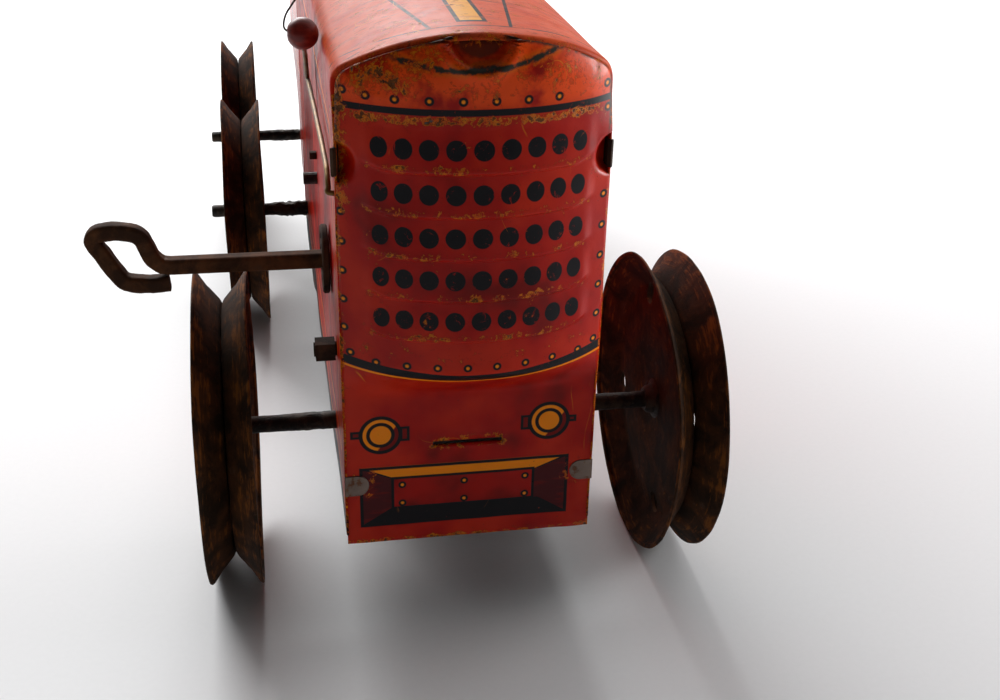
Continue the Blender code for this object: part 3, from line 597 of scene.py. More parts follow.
def rust_paint(name, dark, brown, orange, orange_share, local=False):
    """Rusted steel: brown with orange bloom, dark pits and streaks."""
    paint = Paint(name, local)
    broad = paint.noise(7.0, 6.0, 0.62, distortion=0.4)
    streak = paint.ring_noise(0.9, 7.0) if local else paint.noise(2.6, 6.0, 0.72)
    if local:
        streak = streak + paint.step(hypot(paint.y, paint.z), GROOVE_R, WHEEL_R, -0.06, 0.05)
    fine = paint.noise(0.5, 4.0, 0.75)
    colour = paint.mix(paint.step(broad, 0.36, 0.62), dark, brown)
    bloom = paint.step(streak * 0.6 + broad * 0.4, 0.54 - orange_share, 0.64 - orange_share)
    colour = paint.mix(bloom * 0.6, colour, orange)
    colour = paint.mix(paint.step(fine, 0.60, 0.75, 0.0, 0.6), colour, dark)
    worn = paint.step(paint.noise(3.2, 5.0, 0.7), 0.60, 0.70, 0.0, 0.4)
    colour = paint.mix(worn, colour, (0.085, 0.045, 0.026))
    rough = 0.80 - worn * 0.30 + (fine - 0.5) * 0.3
    paint.bump(broad * 0.5 + streak * 0.35 + fine * 0.22, 0.35, 0.8)
    return paint.finish(colour, rough, worn * 0.4, specular=0.13)


def steel_paint(name, tone, rust_share=0.02, roughness=0.38):
    """Dull bare steel with a few rust freckles."""
    paint = Paint(name)
    broad = paint.noise(9.0, 5.0, 0.6)
    fine = paint.noise(0.6, 3.0, 0.7, stretch=(0.3, 1.0, 3.0))
    light = tuple(min(1.0, c * 1.35) for c in tone)
    colour = paint.mix(paint.step(broad, 0.38, 0.62), tone, light)
    freckle = paint.step(paint.noise(2.6, 6.0, 0.72), 0.62 - rust_share, 0.70 - rust_share)
    colour = paint.mix(freckle * 0.85, colour, RUST)
    rough = (fine - 0.5) * 0.3 + roughness + freckle * 0.35
    paint.bump(fine * 0.3 + freckle * 0.4, 0.12, 0.6)
    return paint.finish(colour, rough, 1.0 - freckle * 0.9)


def brass_paint():
    """Dull yellow metal, browned in places."""
    paint = Paint("dull_brass")
    broad = paint.noise(5.0, 5.0, 0.65)
    fine = paint.noise(0.5, 3.0, 0.7)
    colour = paint.mix(paint.step(broad, 0.40, 0.64), (0.19, 0.105, 0.030), (0.09, 0.048, 0.014))
    paint.bump(broad * 0.4 + fine * 0.2, 0.1, 0.6)
    return paint.finish(colour, (fine - 0.5) * 0.3 + 0.46, 0.75)


def wood_paint():
    """Dark red stained wooden ball with rubbed grain."""
    paint = Paint("red_stained_wood")
    grain = paint.noise(0.9, 4.0, 0.6, stretch=(0.25, 1.0, 1.0), distortion=0.6)
    broad = paint.noise(4.0, 3.0)
    colour = paint.mix(paint.step(grain, 0.38, 0.66), (0.15, 0.008, 0.005), (0.25, 0.022, 0.012))
    colour = paint.mix(paint.step(broad, 0.56, 0.64, 0.0, 0.8), colour, (0.03, 0.008, 0.006))
    paint.bump(grain * 0.5 + broad * 0.4, 0.12, 0.7)
    return paint.finish(colour, (broad - 0.5) * 0.3 + 0.42, 0.0, 0.06, 0.3, 0.3)


def grime_paint():
    """Black oily dirt on rusty rod."""
    paint = Paint("greasy_iron")
    broad = paint.noise(4.0, 6.0, 0.7)
    fine = paint.noise(0.7, 5.0, 0.75)
    colour = paint.mix(paint.step(broad, 0.42, 0.60), (0.012, 0.009, 0.007), (0.055, 0.034, 0.020))
    colour = paint.mix(paint.step(fine, 0.58, 0.72, 0.0, 0.7), colour, (0.10, 0.09, 0.07))
    paint.bump(broad * 0.7 + fine * 0.5, 0.4, 0.9)
    return paint.finish(colour, (fine - 0.5) * 0.7 + 0.55, 0.2, specular=0.3)


def floor_paint():
    """Plain pale paper."""
    paint = Paint("pale_paper")
    fine = paint.noise(1.4, 3.0, 0.6)
    colour = paint.mix(fine, (0.80, 0.80, 0.81), (0.84, 0.84, 0.85))
    paint.bump(fine, 0.05, 0.3)
    return paint.finish(colour, 0.55)


# ------------------------------------------------------------------ mesh helpers

def add_piece(name, bm, material, body, replaces=(), sharp=30.0):
    """A mesh in world metres that rides on a body."""
    bmesh.ops.recalc_face_normals(bm, faces=bm.faces)
    mesh = bpy.data.meshes.new(name)
    bm.to_mesh(mesh)
    bm.free()
    mesh.shade_smooth()
    mesh.set_sharp_from_angle(angle=math.radians(sharp))
    mesh.materials.append(material)
    piece = bpy.data.objects.new(name, mesh)
    bpy.context.scene.collection.objects.link(piece)
    return settle(piece, body, replaces)


def settle(piece, body, replaces=()):
    """Ride and replace in one go."""
    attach(piece, body)
    if replaces:
        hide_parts(*replaces)
    return piece


def thicken(piece, thickness, offset):
    """Give a skin its sheet thickness."""
    solid = piece.modifiers.new("sheet", "SOLIDIFY")
    solid.thickness = thickness * MM
    solid.offset = offset
    return solid


def grid(bm, rows):
    """Faces between rows of vertices; None marks a gap."""
    for low, high in zip(rows, rows[1:]):
        for i in range(len(low) - 1):
            corners = (low[i], low[i + 1], high[i + 1], high[i])
            if None not in corners:
                bm.faces.new(corners)


def swept(path, radius, sides=12, square=False, up=(0.0, 1.0, 0.0), rough=0.0, seed=0.0, taper=None):
    """A bar or wire along points in millimetres from BASE, with rounded corners if square."""
    bm = bmesh.new()
    points = [Vector(p) for p in path]
    up = Vector(up)
    rings = []
    for i, point in enumerate(points):
        before = points[max(i - 1, 0)]
        after = points[min(i + 1, len(points) - 1)]
        forward = (after - before).normalized()
        side = forward.cross(up).normalized()
        up = side.cross(forward).normalized()
        ring = []
        for j in range(sides):
            angle = 2 * math.pi * (j + 0.5) / sides
            c = math.cos(angle)
            s = math.sin(angle)
            reach = radius * (taper(i / (len(points) - 1)) if taper else 1.0)
            if square:
                reach *= 1.0 / (abs(c) ** 7 + abs(s) ** 7) ** (1 / 7)
            spot = point + side * reach * c + up * reach * s
            if rough:
                lift = noise.noise(spot * 0.55 + Vector((seed, 0, 0))) + 0.5 * noise.noise(spot * 1.7)
                spot += (side * c + up * s) * rough * lift
            ring.append(bm.verts.new(to_world(*spot)))
        rings.append(ring)
    for here, there in zip(rings, rings[1:]):
        for j in range(sides):
            k = (j + 1) % sides
            bm.faces.new((here[j], here[k], there[k], there[j]))
    bm.faces.new(list(reversed(rings[0])))
    bm.faces.new(rings[-1])
    return bm


def smooth_path(corners, steps):
    """Points along a Catmull-Rom curve through the corners."""
    points = [Vector(c) for c in corners]
    padded = [2 * points[0] - points[1]] + points + [2 * points[-1] - points[-2]]
    curve = []
    for i in range(1, len(padded) - 2):
        p0, p1, p2, p3 = padded[i - 1:i + 3]
        for s in range(steps):
            t = s / steps
            curve.append(0.5 * (2 * p1 + (p2 - p0) * t + (2 * p0 - 5 * p1 + 4 * p2 - p3) * t * t
                                + (3 * p1 - 3 * p2 + p3 - p0) * t * t * t))
    curve.append(points[-1])
    return curve


def turned(profile, segments, wobble=None):
    """Turn a closed (x, radius) outline in millimetres about the X axis, in local metres."""
    bm = bmesh.new()
    rings = []
    for i in range(segments):
        angle = 2 * math.pi * i / segments
        ring = []
        for x, radius in profile:
            dx, dr = wobble(angle, radius) if wobble else (0.0, 0.0)
            reach = (radius + dr) * MM
            ring.append(bm.verts.new(((x + dx) * MM, reach * math.cos(angle), reach * math.sin(angle))))
        rings.append(ring)
    count = len(profile)
    for i in range(segments):
        here = rings[i]
        there = rings[(i + 1) % segments]
        for j in range(count):
            k = (j + 1) % count
            bm.faces.new((here[j], here[k], there[k], there[j]))
    bmesh.ops.recalc_face_normals(bm, faces=bm.faces)
    return bm


# ------------------------------------------------------------------- body pieces

def arch():
    """The top arc's radius and the angle at which the shoulder takes over."""
    run = BODY_HALF - SHOULDER_R
    rise = HOOD_TOP - SIDE_TOP - SHOULDER_R
    drop = (run * run - rise * rise) / (2 * rise)
    return drop + rise + SHOULDER_R, math.atan2(run, drop)


ARCH_R, ARCH_LEAN = arch()


def half_width(z, inset):
    """Half the width at a height of the hood's outline, moved in by `inset`."""
    if z <= SIDE_TOP:
        return BODY_HALF - inset
    shoulder = SHOULDER_R - inset
    if z <= SIDE_TOP + shoulder * math.cos(ARCH_LEAN):
        return BODY_HALF - SHOULDER_R + math.sqrt(max(shoulder ** 2 - (z - SIDE_TOP) ** 2, 0.0))
    return math.sqrt(max((ARCH_R - inset) ** 2 - (z - HOOD_TOP + ARCH_R) ** 2, 0.0))


def lip_radius(z):
    """The hood's front edge is rolled in: broadly over the top, finely down the sides."""
    return 0.45 + 0.75 * smooth(108.0, 122.0, z)


def edge_distance(x, z):
    """How far a point of the front lies inside the hood's outline."""
    reach = BODY_HALF - abs(x)
    corner = BODY_HALF - SHOULDER_R
    if z > SIDE_TOP and abs(x) > corner:
        reach = min(reach, SHOULDER_R - math.hypot(abs(x) - corner, z - SIDE_TOP))
    if z > SIDE_TOP:
        reach = min(reach, ARCH_R - math.hypot(x, z - HOOD_TOP + ARCH_R))
    return max(reach, 0.0)


def front_surface(x, z):
    """Y of the front pressing without its small pressed details."""
    bulge = CROWN * (1 - (x / BODY_HALF) ** 2) * smooth(SHELF_LOW, SHELF_HIGH, z)
    y = FRONT_Y - bulge
    near = 1 - min(edge_distance(x, z) / 9.0, 1.0)
    y += 3.2 * (1 - math.sqrt(max(1 - near * near * 0.92, 0.0))) * smooth(108.0, 121.0, z)
    return y


def pressed_detail(x, z):
    """Louvre steps, the raised field, corner recesses and the top dimple; positive goes inward."""
    across = abs(x - FIELD_MIDDLE)
    ends = 1.6 * smooth(15.0, 22.0, across) ** 2
    depth = 0.0
    if LIP_Z0 - 2 < z - ends < FIELD_TOP + 2 and across < FIELD_HALF + 1.5:
        band = (z - ends - LIP_Z0) / LIP_DZ
        index = math.floor(band)
        share = band - index
        swell = 0.72 * (1 - share) ** 1.1 * smooth(0.0, 0.055, share)
        if index < 0:
            swell = 0.0
        if index >= DOT_ROWS:
            swell = 0.0
        fade = 1 - smooth(FIELD_HALF - 1.8, FIELD_HALF + 0.6, across)
        depth -= swell * fade
    for side in (-1, 1):
        r = math.hypot(x - side * (BODY_HALF + 0.2), z - RECESS_Z)
        depth += 3.0 * (1 - smooth(RECESS_R - 1.3, RECESS_R + 0.5, r))
    r = math.hypot(x + 0.5, (z - HOOD_TOP) * 0.95)
    depth += 2.4 * (1 - smooth(DIMPLE_R - 1.5, DIMPLE_R, r))
    ridge = smooth(DIMPLE_R - 0.6, DIMPLE_R + 0.4, r) * (1 - smooth(DIMPLE_R + 0.6, DIMPLE_R + 2.4, r))
    depth -= 0.35 * ridge
    lips = math.hypot(max(abs(x - (SLOT[0] + SLOT[1]) / 2) - 6.5, 0.0), z - (SLOT[2] + SLOT[3]) / 2)
    depth -= 0.35 * (1 - smooth(0.6, 2.6, lips))
    depth += 0.16 * noise.noise(Vector((x * 0.11, z * 0.09, 3.0)))
    return depth


def spaced(low, high, step):
    """Even values from low to high."""
    count = max(1, round((high - low) / step))
    return [low + (high - low) * i / count for i in range(count + 1)]


def build_front():
    """The crowned grille and apron as one pressed skin with a slot in the apron."""
    heights = spaced(APRON_LOW, SLOT[2], 1.1) + spaced(SLOT[2], SLOT[3], 0.5)[1:]
    heights += spaced(SLOT[3], LIP_Z0 - 1, 1.0)[1:] + spaced(LIP_Z0 - 1, FIELD_TOP + 1, 0.33)[1:]
    heights += spaced(FIELD_TOP + 1, HOOD_TOP - 0.85, 0.5)[1:]
    columns = 104
    bm = bmesh.new()
    rows = []
    for z in heights:
        half = half_width(z, lip_radius(z) * 0.7)
        row = []
        for i in range(columns + 1):
            x = half * (2 * i / columns - 1)
            in_slot = SLOT[0] < x < SLOT[1] and SLOT[2] < z < SLOT[3]
            if in_slot:
                row.append(None)
            else:
                y = front_surface(x, z) + pressed_detail(x, z)
                if z < 30:
                    y += 0.25 * noise.noise(Vector((x * 0.16, 1.0, 2.0)))
                row.append(bm.verts.new(to_world(x, y, z)))
        rows.append(row)
    grid(bm, rows)
    panel = add_piece("grille_and_apron", bm, PAINTS["front"], "chassis", ["front_panel"], 50)
    thicken(panel, TIN, -1.0)
    face_front(panel)

    # A dark sheet, bent in and down from the slot's upper edge, stands in for the shade inside the body, so
    # the slot looks dark.
    bm = bmesh.new()
    rows = []
    for depth, drop in ((0.35, 0.0), (0.9, 0.35), (1.7, 1.2), (2.6, 2.6)):
        across = spaced(SLOT[0] - 0.7, SLOT[1] + 0.7, 1.0)
        rows.append([bm.verts.new(to_world(x, FRONT_Y + depth, SLOT[3] - drop)) for x in across])
    grid(bm, rows)
    shade_flap = add_piece("slot_flap", bm, PAINTS["grime"], "chassis")
    thicken(shade_flap, 0.4, 0.0)


def face_front(piece):
    """Make a front skin's faces point towards -Y, so its thickness goes inward."""
    if sum(face.normal.y * face.area for face in piece.data.polygons) > 0:
        piece.data.flip_normals()


SILL = [(-60, 24.5), (96, 24.5), (108, 21), (116, 19.6), (146, 19.6), (156, 21.5), (161, 28)]
SILL += [(162, 36), (180, 37), (185, 41), (188, 50), (193, 57), (204, 60.5), (224, 63.5), (300, 66)]


def sill(y):
    """The side panels' lower edge."""
    for (y0, z0), (y1, z1) in zip(SILL, SILL[1:]):
        if y0 <= y <= y1:
            return z0 + (z1 - z0) * (y - y0) / (y1 - y0)
    return SILL[-1][1]


def hood_depth(x, z, s, roll):
    """Y of the hood's skin at a share s of its length, and how far its rolled front edge is moved in."""
    y_front = front_surface(x, z) - 0.15
    radius = lip_radius(z)
    if roll is not None:
        return y_front + radius * (1 - math.cos(roll)), radius * (1 - math.sin(roll))
    return y_front + radius + (HOOD_BACK - y_front - radius) * s, 0.0


def build_hood():
    """Hood: both sides and the arched top as one skin, its front edge following the grille."""
    section = []
    for i in range(9):
        angle = math.pi - (math.pi / 2 - ARCH_LEAN) * i / 8
        section.append((-BODY_HALF + SHOULDER_R, SIDE_TOP, SHOULDER_R, angle))
    for i in range(1, 49):
        angle = math.pi / 2 + ARCH_LEAN * (1 - i / 24)
        section.append((0.0, HOOD_TOP - ARCH_R, ARCH_R, angle))
    for i in range(1, 9):
        angle = math.pi / 2 - ARCH_LEAN - (math.pi / 2 - ARCH_LEAN) * i / 8
        section.append((BODY_HALF - SHOULDER_R, SIDE_TOP, SHOULDER_R, angle))
    length = HOOD_BACK - FRONT_Y - TIN
    slot_stations = [(y - FRONT_Y - TIN) / length for y in LEVER_SLOT_Y]
    stations = sorted(spaced(0.01, 1.0, 0.009) + slot_stations)
    rolled = [math.pi / 2 * i / 4 for i in range(5)]
    side_steps = 34
    bm = bmesh.new()
    rows = []
    slot_rows = []
    for s, roll in [(0.0, angle) for angle in rolled] + [(s, None) for s in stations]:
        row = []
        for side in (-1, 1):
            run = []
            for j in range(side_steps):
                z_share = j / side_steps
                y = FRONT_Y + TIN + (HOOD_BACK - FRONT_Y - TIN) * s
                low = sill(y)
                z = low + (SIDE_TOP - low) * z_share
                y, inset = hood_depth(side * BODY_HALF, z, s, roll)
                dent = 0.35 * noise.noise(Vector((y * 0.03, z * 0.05, side * 4.0)))
                x = side * (BODY_HALF - 0.12 + min(dent, 0.1) - inset)
                run.append((x, y, z))
            row.append(run)
        left, right = row
        top = []
        for middle_x, middle_z, radius, angle in section:
            x = middle_x + radius * math.cos(angle)
            z = middle_z + radius * math.sin(angle)
            y, inset = hood_depth(x, z, s, roll)
            dip = 0.3 * noise.noise(Vector((x * 0.08, y * 0.035, 9.0))) - 0.1
            x -= inset * math.cos(angle)
            z -= inset * math.sin(angle)
            top.append((x, y, z + min(dip, 0.0)))
        points = left + top + list(reversed(right))
        rows.append([bm.verts.new(to_world(*p)) for p in points])
        if roll is None and slot_stations[0] < s <= slot_stations[1]:
            slot_rows.append(rows[-2:])
    grid(bm, rows)
    slot_faces = []
    for near, far in slot_rows:
        for j in range(side_steps - 1):
            if LEVER_SLOT_Z[0] < near[j].co.z / MM and near[j + 1].co.z / MM < LEVER_SLOT_Z[1]:
                corners = {near[j], near[j + 1], far[j], far[j + 1]}
                slot_faces += [face for face in near[j].link_faces if set(face.verts) == corners]
    bmesh.ops.delete(bm, geom=slot_faces, context="FACES")
    hood = add_piece("hood", bm, PAINTS["hood"], "chassis", ["hood_shell"], 50)
    if sum(f.normal.z * f.area for f in hood.data.polygons if f.center.z > SIDE_TOP * MM) < 0:
        hood.data.flip_normals()
    thicken(hood, TIN, -1.0)
    return hood


def build_tabs():
    """Tin tabs of the hood bent over the apron, and the lugs in the corner recesses."""
    for side, side_name in ((-1, "left"), (1, "right")):
        bm = bmesh.new()
        z0, z1 = TAB_Z
        middle = (z0 + z1) / 2
        half = (z1 - z0) / 2
        outline = [(BODY_HALF - 0.1, z0)]
        for i in range(13):
            angle = -math.pi / 2 + math.pi * i / 12
            tip = BODY_HALF - TAB_REACH + half - half * math.cos(angle)
            outline.append((tip, middle + half * math.sin(angle)))
        outline.append((BODY_HALF - 0.1, z1))
        rings = []
        for depth in (FRONT_Y - 0.45, FRONT_Y - 0.05):
            corners = [(side * x, depth + 0.12 * (z - z0) / half, z) for x, z in outline]
            rings.append([bm.verts.new(to_world(*corner)) for corner in corners])
        bm.faces.new(rings[0])
        bm.faces.new(list(reversed(rings[1])))
        for i in range(len(outline)):
            k = (i + 1) % len(outline)
            bm.faces.new((rings[0][i], rings[0][k], rings[1][k], rings[1][i]))
        tab = add_piece("apron_tab_" + side_name, bm, PAINTS["worn_tin"], "chassis", (), 40)
        bevel(tab, 0.12)
        x = side * BODY_HALF
        reach = 0.3 if side < 0 else -0.2
        lug_path = [(x - side * 0.9, FRONT_Y + 3.6, RECESS_Z), (x - side * 0.6, FRONT_Y + 1.2, RECESS_Z),
                    (x + side * (reach - 0.5), FRONT_Y - 0.1, RECESS_Z),
                    (x + side * reach, FRONT_Y - 0.5, RECESS_Z)]
        lug = add_box_along(lug_path, 0.4, 2.7)
        add_piece("recess_lug_" + side_name, lug, PAINTS["rust"], "chassis")


def build_plate_tab():
    """The end of the motor plate's lug, which pokes through the hood's left side."""
    path = [(-BODY_HALF + 0.2, 51.0, 80.9), (-BODY_HALF - 1.5, 51.0, 80.9)]
    tab = add_piece("plate_tab", add_box_along(path, 1.0, 0.9), PAINTS["rust"], "chassis")
    bevel(tab, 0.15)


# A strip's section with its corners cut, as shares of its half sizes.
STRIP_CORNERS = ((-1, -0.88), (-0.6, -1), (0.6, -1), (1, -0.88),
                 (1, 0.88), (0.6, 1), (-0.6, 1), (-1, 0.88))


def add_box_along(path, half_thick, half_tall):
    """A flat strip along a path in the floor plane, standing upright."""
    bm = bmesh.new()
    rings = []
    for i, spot in enumerate(path):
        here = Vector(spot)
        before = Vector(path[max(i - 1, 0)])
        after = Vector(path[min(i + 1, len(path) - 1)])
        forward = (after - before).normalized()
        side = forward.cross(Vector((0, 0, 1))).normalized()
        ring = []
        for u, v in STRIP_CORNERS:
            corner = here + side * half_thick * u + Vector((0, 0, half_tall * v))
            ring.append(bm.verts.new(to_world(*corner)))
        rings.append(ring)
    for here, there in zip(rings, rings[1:]):
        for j in range(8):
            k = (j + 1) % 8
            bm.faces.new((here[j], here[k], there[k], there[j]))
    bm.faces.new(list(reversed(rings[0])))
    bm.faces.new(rings[-1])
    return bm


def bevel(piece, width, segments=2):
    """Soften an object's edges."""
    modifier = piece.modifiers.new("edges", "BEVEL")
    modifier.width = width * MM
    modifier.segments = segments
    modifier.limit_method = "ANGLE"
    modifier.angle_limit = math.radians(40)
    return modifier


# ------------------------------------------------------------------------ wheels


def disc_profile():
    """One stamped disc: dished web, V flank, and a folded lip at the rim; it faces +X."""
    web = 0.15
    outside = [(web, 3.05), (web, GROOVE_R - 0.5), (web + 0.35, GROOVE_R + 0.25)]
    outside += [(2.55, 31.2), (3.1, 31.75), (RIM_HALF - 0.75, 34.65)]
    lip = [(RIM_HALF - 0.35, 34.95), (RIM_HALF - 0.05, 34.85), (RIM_HALF, 34.4), (RIM_HALF - 0.3, 33.9)]
    inside = [(RIM_HALF - 0.9, 33.7), (2.9 + 0.55, 31.2)]
    inside += [(web + 1.1, GROOVE_R - 0.6), (web + SHEET + 0.1, GROOVE_R - 1.6)]
    inside += [(web + SHEET + 0.55, 23.5), (web + SHEET + 0.55, 12.0)]
    inside += [(web + SHEET, 10.5), (web + SHEET, 3.05)]
    return outside + lip + inside


def disc_mesh(name, facing, seed):
    """A shared mesh for one kind of disc, with four punched holes."""
    def wobble(angle, radius):
        share = smooth(26.0, 35.0, radius)
        wave = noise.noise(Vector((math.cos(angle) * 1.3, math.sin(angle) * 1.3, seed)))
        nick = noise.noise(Vector((math.cos(angle) * 6.0, math.sin(angle) * 6.0, seed + 5)))
        return share * wave * 0.35, share * (wave * 0.25 - 0.25 + nick * 0.14)

    bm = turned([(facing * x, r) for x, r in disc_profile()], 96, wobble)
    mesh = bpy.data.meshes.new(name)
    bm.to_mesh(mesh)
    bm.free()
    work = bpy.data.objects.new(name + "_work", mesh)
    bpy.context.scene.collection.objects.link(work)
    drill = bmesh.new()
    for i in range(4):
        angle = math.pi / 2 * i + 0.35
        centre = Vector((0.0, math.cos(angle), math.sin(angle))) * 25.0 * MM
        turn = Matrix.Translation(centre) @ Matrix.Rotation(math.pi / 2, 4, "Y")
        bmesh.ops.create_cone(drill, cap_ends=True, segments=20, radius1=2.5 * MM, radius2=2.5 * MM,
                              depth=8 * MM, matrix=turn)
    drill_mesh = bpy.data.meshes.new(name + "_drill")
    drill.to_mesh(drill_mesh)
    drill.free()
    drill_object = bpy.data.objects.new(name + "_drill", drill_mesh)
    bpy.context.scene.collection.objects.link(drill_object)
    modifier = work.modifiers.new("holes", "BOOLEAN")
    modifier.operation = "DIFFERENCE"
    modifier.solver = "EXACT"
    modifier.object = drill_object
    bpy.context.view_layer.update()
    graph = bpy.context.evaluated_depsgraph_get()
    result = bpy.data.meshes.new_from_object(work.evaluated_get(graph), depsgraph=graph)
    result.name = name
    bpy.data.objects.remove(work)
    bpy.data.objects.remove(drill_object)
    result.shade_smooth()
    result.set_sharp_from_angle(angle=math.radians(38))
    return result


def build_wheels():
    """Twelve discs and six hubs on three axles."""
    discs = {facing: disc_mesh(f"disc_{facing}", facing, 3.0 + facing) for facing in (-1, 1)}
    for mesh in discs.values():
        mesh.materials.append(PAINTS["wheel"])
    # Each wheel has its own turn and a slight lean, as if the hub had been knocked.
    leans = {"front_left": -3.0, "front_right": 0.9, "middle_left": -2.8, "middle_right": 0.8,
             "rear_left": -0.9, "rear_right": 0.5}
    for number, (wheel, lean) in enumerate(leans.items()):
        place, side_name = wheel.split("_")
        side = -1 if side_name == "left" else 1
        for facing, disc_name in ((side, "outer"), (-side, "inner")):
            node = f"{wheel}_disc_{disc_name}"
            low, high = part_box(node)
            inner_x = low.x - 0.15 * MM if facing > 0 else high.x + 0.15 * MM
            mesh = discs[facing].copy()
            shear = Matrix.Shear("YZ", 4, (0.0, math.tan(math.radians(lean))))
            mesh.transform(shear @ Matrix.Rotation(0.9 * number, 4, "X"))
            disc = bpy.data.objects.new(wheel + "_stamped_" + disc_name, mesh)
            bpy.context.scene.collection.objects.link(disc)
            disc.location = (inner_x, (low.y + high.y) / 2, (low.z + high.z) / 2)
            settle(disc, place + "_wheels", [node])
        hub_node = wheel + "_hub"
        low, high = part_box(hub_node)
        profile = [(-3.2, 2.02), (3.2, 2.02), (3.3, 2.6), (2.6, 3.2), (1.4, 3.5), (0.95, 4.6), (0.85, 4.7),
                   (0.85, 2.95), (-0.85, 2.95), (-0.85, 4.7), (-0.95, 4.6), (-1.4, 3.5), (-2.6, 3.2),
                   (-3.3, 2.6)]
        bm = turned(profile, 36)
        bmesh.ops.translate(bm, vec=(low + high) / 2, verts=bm.verts)
        add_piece(wheel + "_bush", bm, PAINTS["grime"], place + "_wheels", [hub_node])


def build_axles():
    """Rusty rods with greasy lumps near the body and chamfered ends."""
    for place, grime in (("front", 0.16), ("middle", 0.5), ("rear", 0.22)):
        low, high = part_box(place + "_axle")
        half = (high.x - low.x) / 2 / MM
        y = ((low.y + high.y) / 2 - BASE.y) / MM
        bm = bmesh.new()
        rings = []
        chamfer = [half - 0.5, half - 0.15, half]
        stations = [-x for x in reversed(chamfer)] + spaced(-half + 1.0, half - 1.0, 0.55) + chamfer
        for x in stations:
            end = smooth(0.0, 0.7, half - abs(x))
            lumps = 1 - smooth(BODY_HALF + 6.0, BODY_HALF + 13.0, abs(x)) if abs(x) > BODY_HALF else 0.0
            ring = []
            for j in range(20):
                angle = 2 * math.pi * j / 20
                spot = Vector((x * 0.5, math.cos(angle) * 1.2, math.sin(angle) * 1.2 + y))
                lift = 0.10 * noise.noise(spot) + grime * lumps * (0.7 + noise.noise(spot * 1.9))
                reach = 1.92 * (0.86 + 0.14 * end) + lift
                spot = to_world(x, y + reach * math.cos(angle), WHEEL_R + reach * math.sin(angle))
                ring.append(bm.verts.new(spot))
            rings.append(ring)
        for here, there in zip(rings, rings[1:]):
            for j in range(20):
                k = (j + 1) % 20
                bm.faces.new((here[j], here[k], there[k], there[j]))
        bm.faces.new(list(reversed(rings[0])))
        bm.faces.new(rings[-1])
        rod = place + "_axle_rod"
        add_piece(rod, bm, PAINTS["grime"], place + "_wheels", [place + "_axle"])


# ---------------------------------------------------------------- key and lever

def build_key():
    """Bent square bar with softened corners."""
    low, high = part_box("winding_key")
    y = ((low.y + high.y) / 2 - BASE.y) / MM
    z = 75.5
    tip = (low.x - BASE.x) / MM
    start = (high.x - BASE.x) / MM
    # The bow's middle line, as distances from the bar's far end and above the arbor's line.
    bow = [(14.6, 0.3), (12.9, 1.9), (12.0, 4.1), (11.0, 6.3), (9.3, 7.5), (5.9, 8.0), (3.0, 7.7), (1.7, 6.7)]
    bow += [(1.8, 5.4), (3.1, 3.2), (5.4, -0.9), (6.8, -2.8), (9.0, -3.6), (12.4, -3.9), (15.9, -3.6)]
    shank = [Vector((x, y, z)) for x in spaced(start, tip + 16.4, 1.3)]
    path = shank + smooth_path([(tip + dx, y, z + dz) for dx, dz in bow], 7)
    key = swept(path, 1.66, 24, square=True, rough=0.12, seed=4.0)
    add_piece("key", key, PAINTS["key"], "winder", ["winding_key"], 60)

    low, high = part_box("key_collar")
    centre = (low + high) / 2
    r = (high.z - low.z) / 2 / MM
    half = (high.x - low.x) / 2 / MM
    profile = [(half, 3.2), (half, r - 0.3), (half - 0.3, r), (-half + 0.3, r), (-half, r - 0.3),
               (-half, r - 1.2),
               (-half + 0.25, r - 1.6), (-half + 0.25, 4.6), (-half, 4.2), (-half, 3.2)]
    bm = turned(profile, 64)
    bmesh.ops.translate(bm, vec=centre, verts=bm.verts)
    add_piece("key_plate", bm, PAINTS["rust"], "chassis", ["key_collar"])


def build_lever():
    """Brass wire lever, its wooden ball and the thin wire tail through it."""
    low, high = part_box("lever_ball")
    ball = (low + high) / 2
    radius = (high.z - low.z) / 2 / MM
    bx, by, bz = (ball - BASE) / MM
    hook_y = -28.6
    hook_z = 98.9
    side_x = -BODY_HALF - 0.9
    back = Vector((side_x - 0.65, 34.0, 103.4))
    corners = [(-20.0, hook_y, hook_z), (side_x + 0.4, hook_y, hook_z), (side_x, hook_y + 0.6, hook_z + 1.0),
               (side_x, hook_y + 3.0, hook_z + 2.6), (side_x, hook_y + 9.0, back.z - 0.9),
               (side_x - 0.35, 8.0, back.z - 0.1), tuple(back), (back.x - 0.2, back.y + 1.4, back.z + 1.2),
               (back.x - 1.0, back.y - 14.0, back.z + 10.0), (bx + 0.1, by + 2.0, bz - radius - 0.15),
               (bx + 0.1, by + 1.6, bz - radius + 0.8)]
    wire = swept(smooth_path(corners, 6), 0.52, 12, up=(0.0, 0.0, 1.0), rough=0.03)
    add_piece("lever_rod", wire, PAINTS["brass"], "lever", ["lever_wire"], 60)
    bm = bmesh.new()
    bmesh.ops.create_uvsphere(bm, u_segments=40, v_segments=24, radius=radius * MM)
    for vert in bm.verts:
        vert.co *= 1.0 - 0.012 + 0.012 * noise.noise(vert.co * 260)
        if vert.co.x < -radius * MM * 0.93:
            vert.co.x = -radius * MM * 0.93 + (vert.co.yz.length < 0.7 * MM) * 0.4 * MM
    bmesh.ops.translate(bm, vec=ball, verts=bm.verts)
    add_piece("wooden_ball", bm, PAINTS["wood"], "lever", ["lever_ball"], 60)
    tail = [(bx - radius + 0.5, by, bz + 0.3), (bx - radius - 0.35, by - 0.2, bz + 1.4),
            (bx - radius + 0.1, by, bz + 3.6),
            (bx - 1.5, by + 0.5, bz + 6.0), (bx + 0.6, by + 1.0, bz + 8.6), (bx + 1.4, by + 1.2, bz + 10.0)]
    wire = swept(smooth_path(tail, 6), 0.2, 8, up=(0.0, 1.0, 0.0))
    add_piece("wire_tail", wire, PAINTS["rust"], "lever", (), 60)


# ------------------------------------------------------------------------- scene

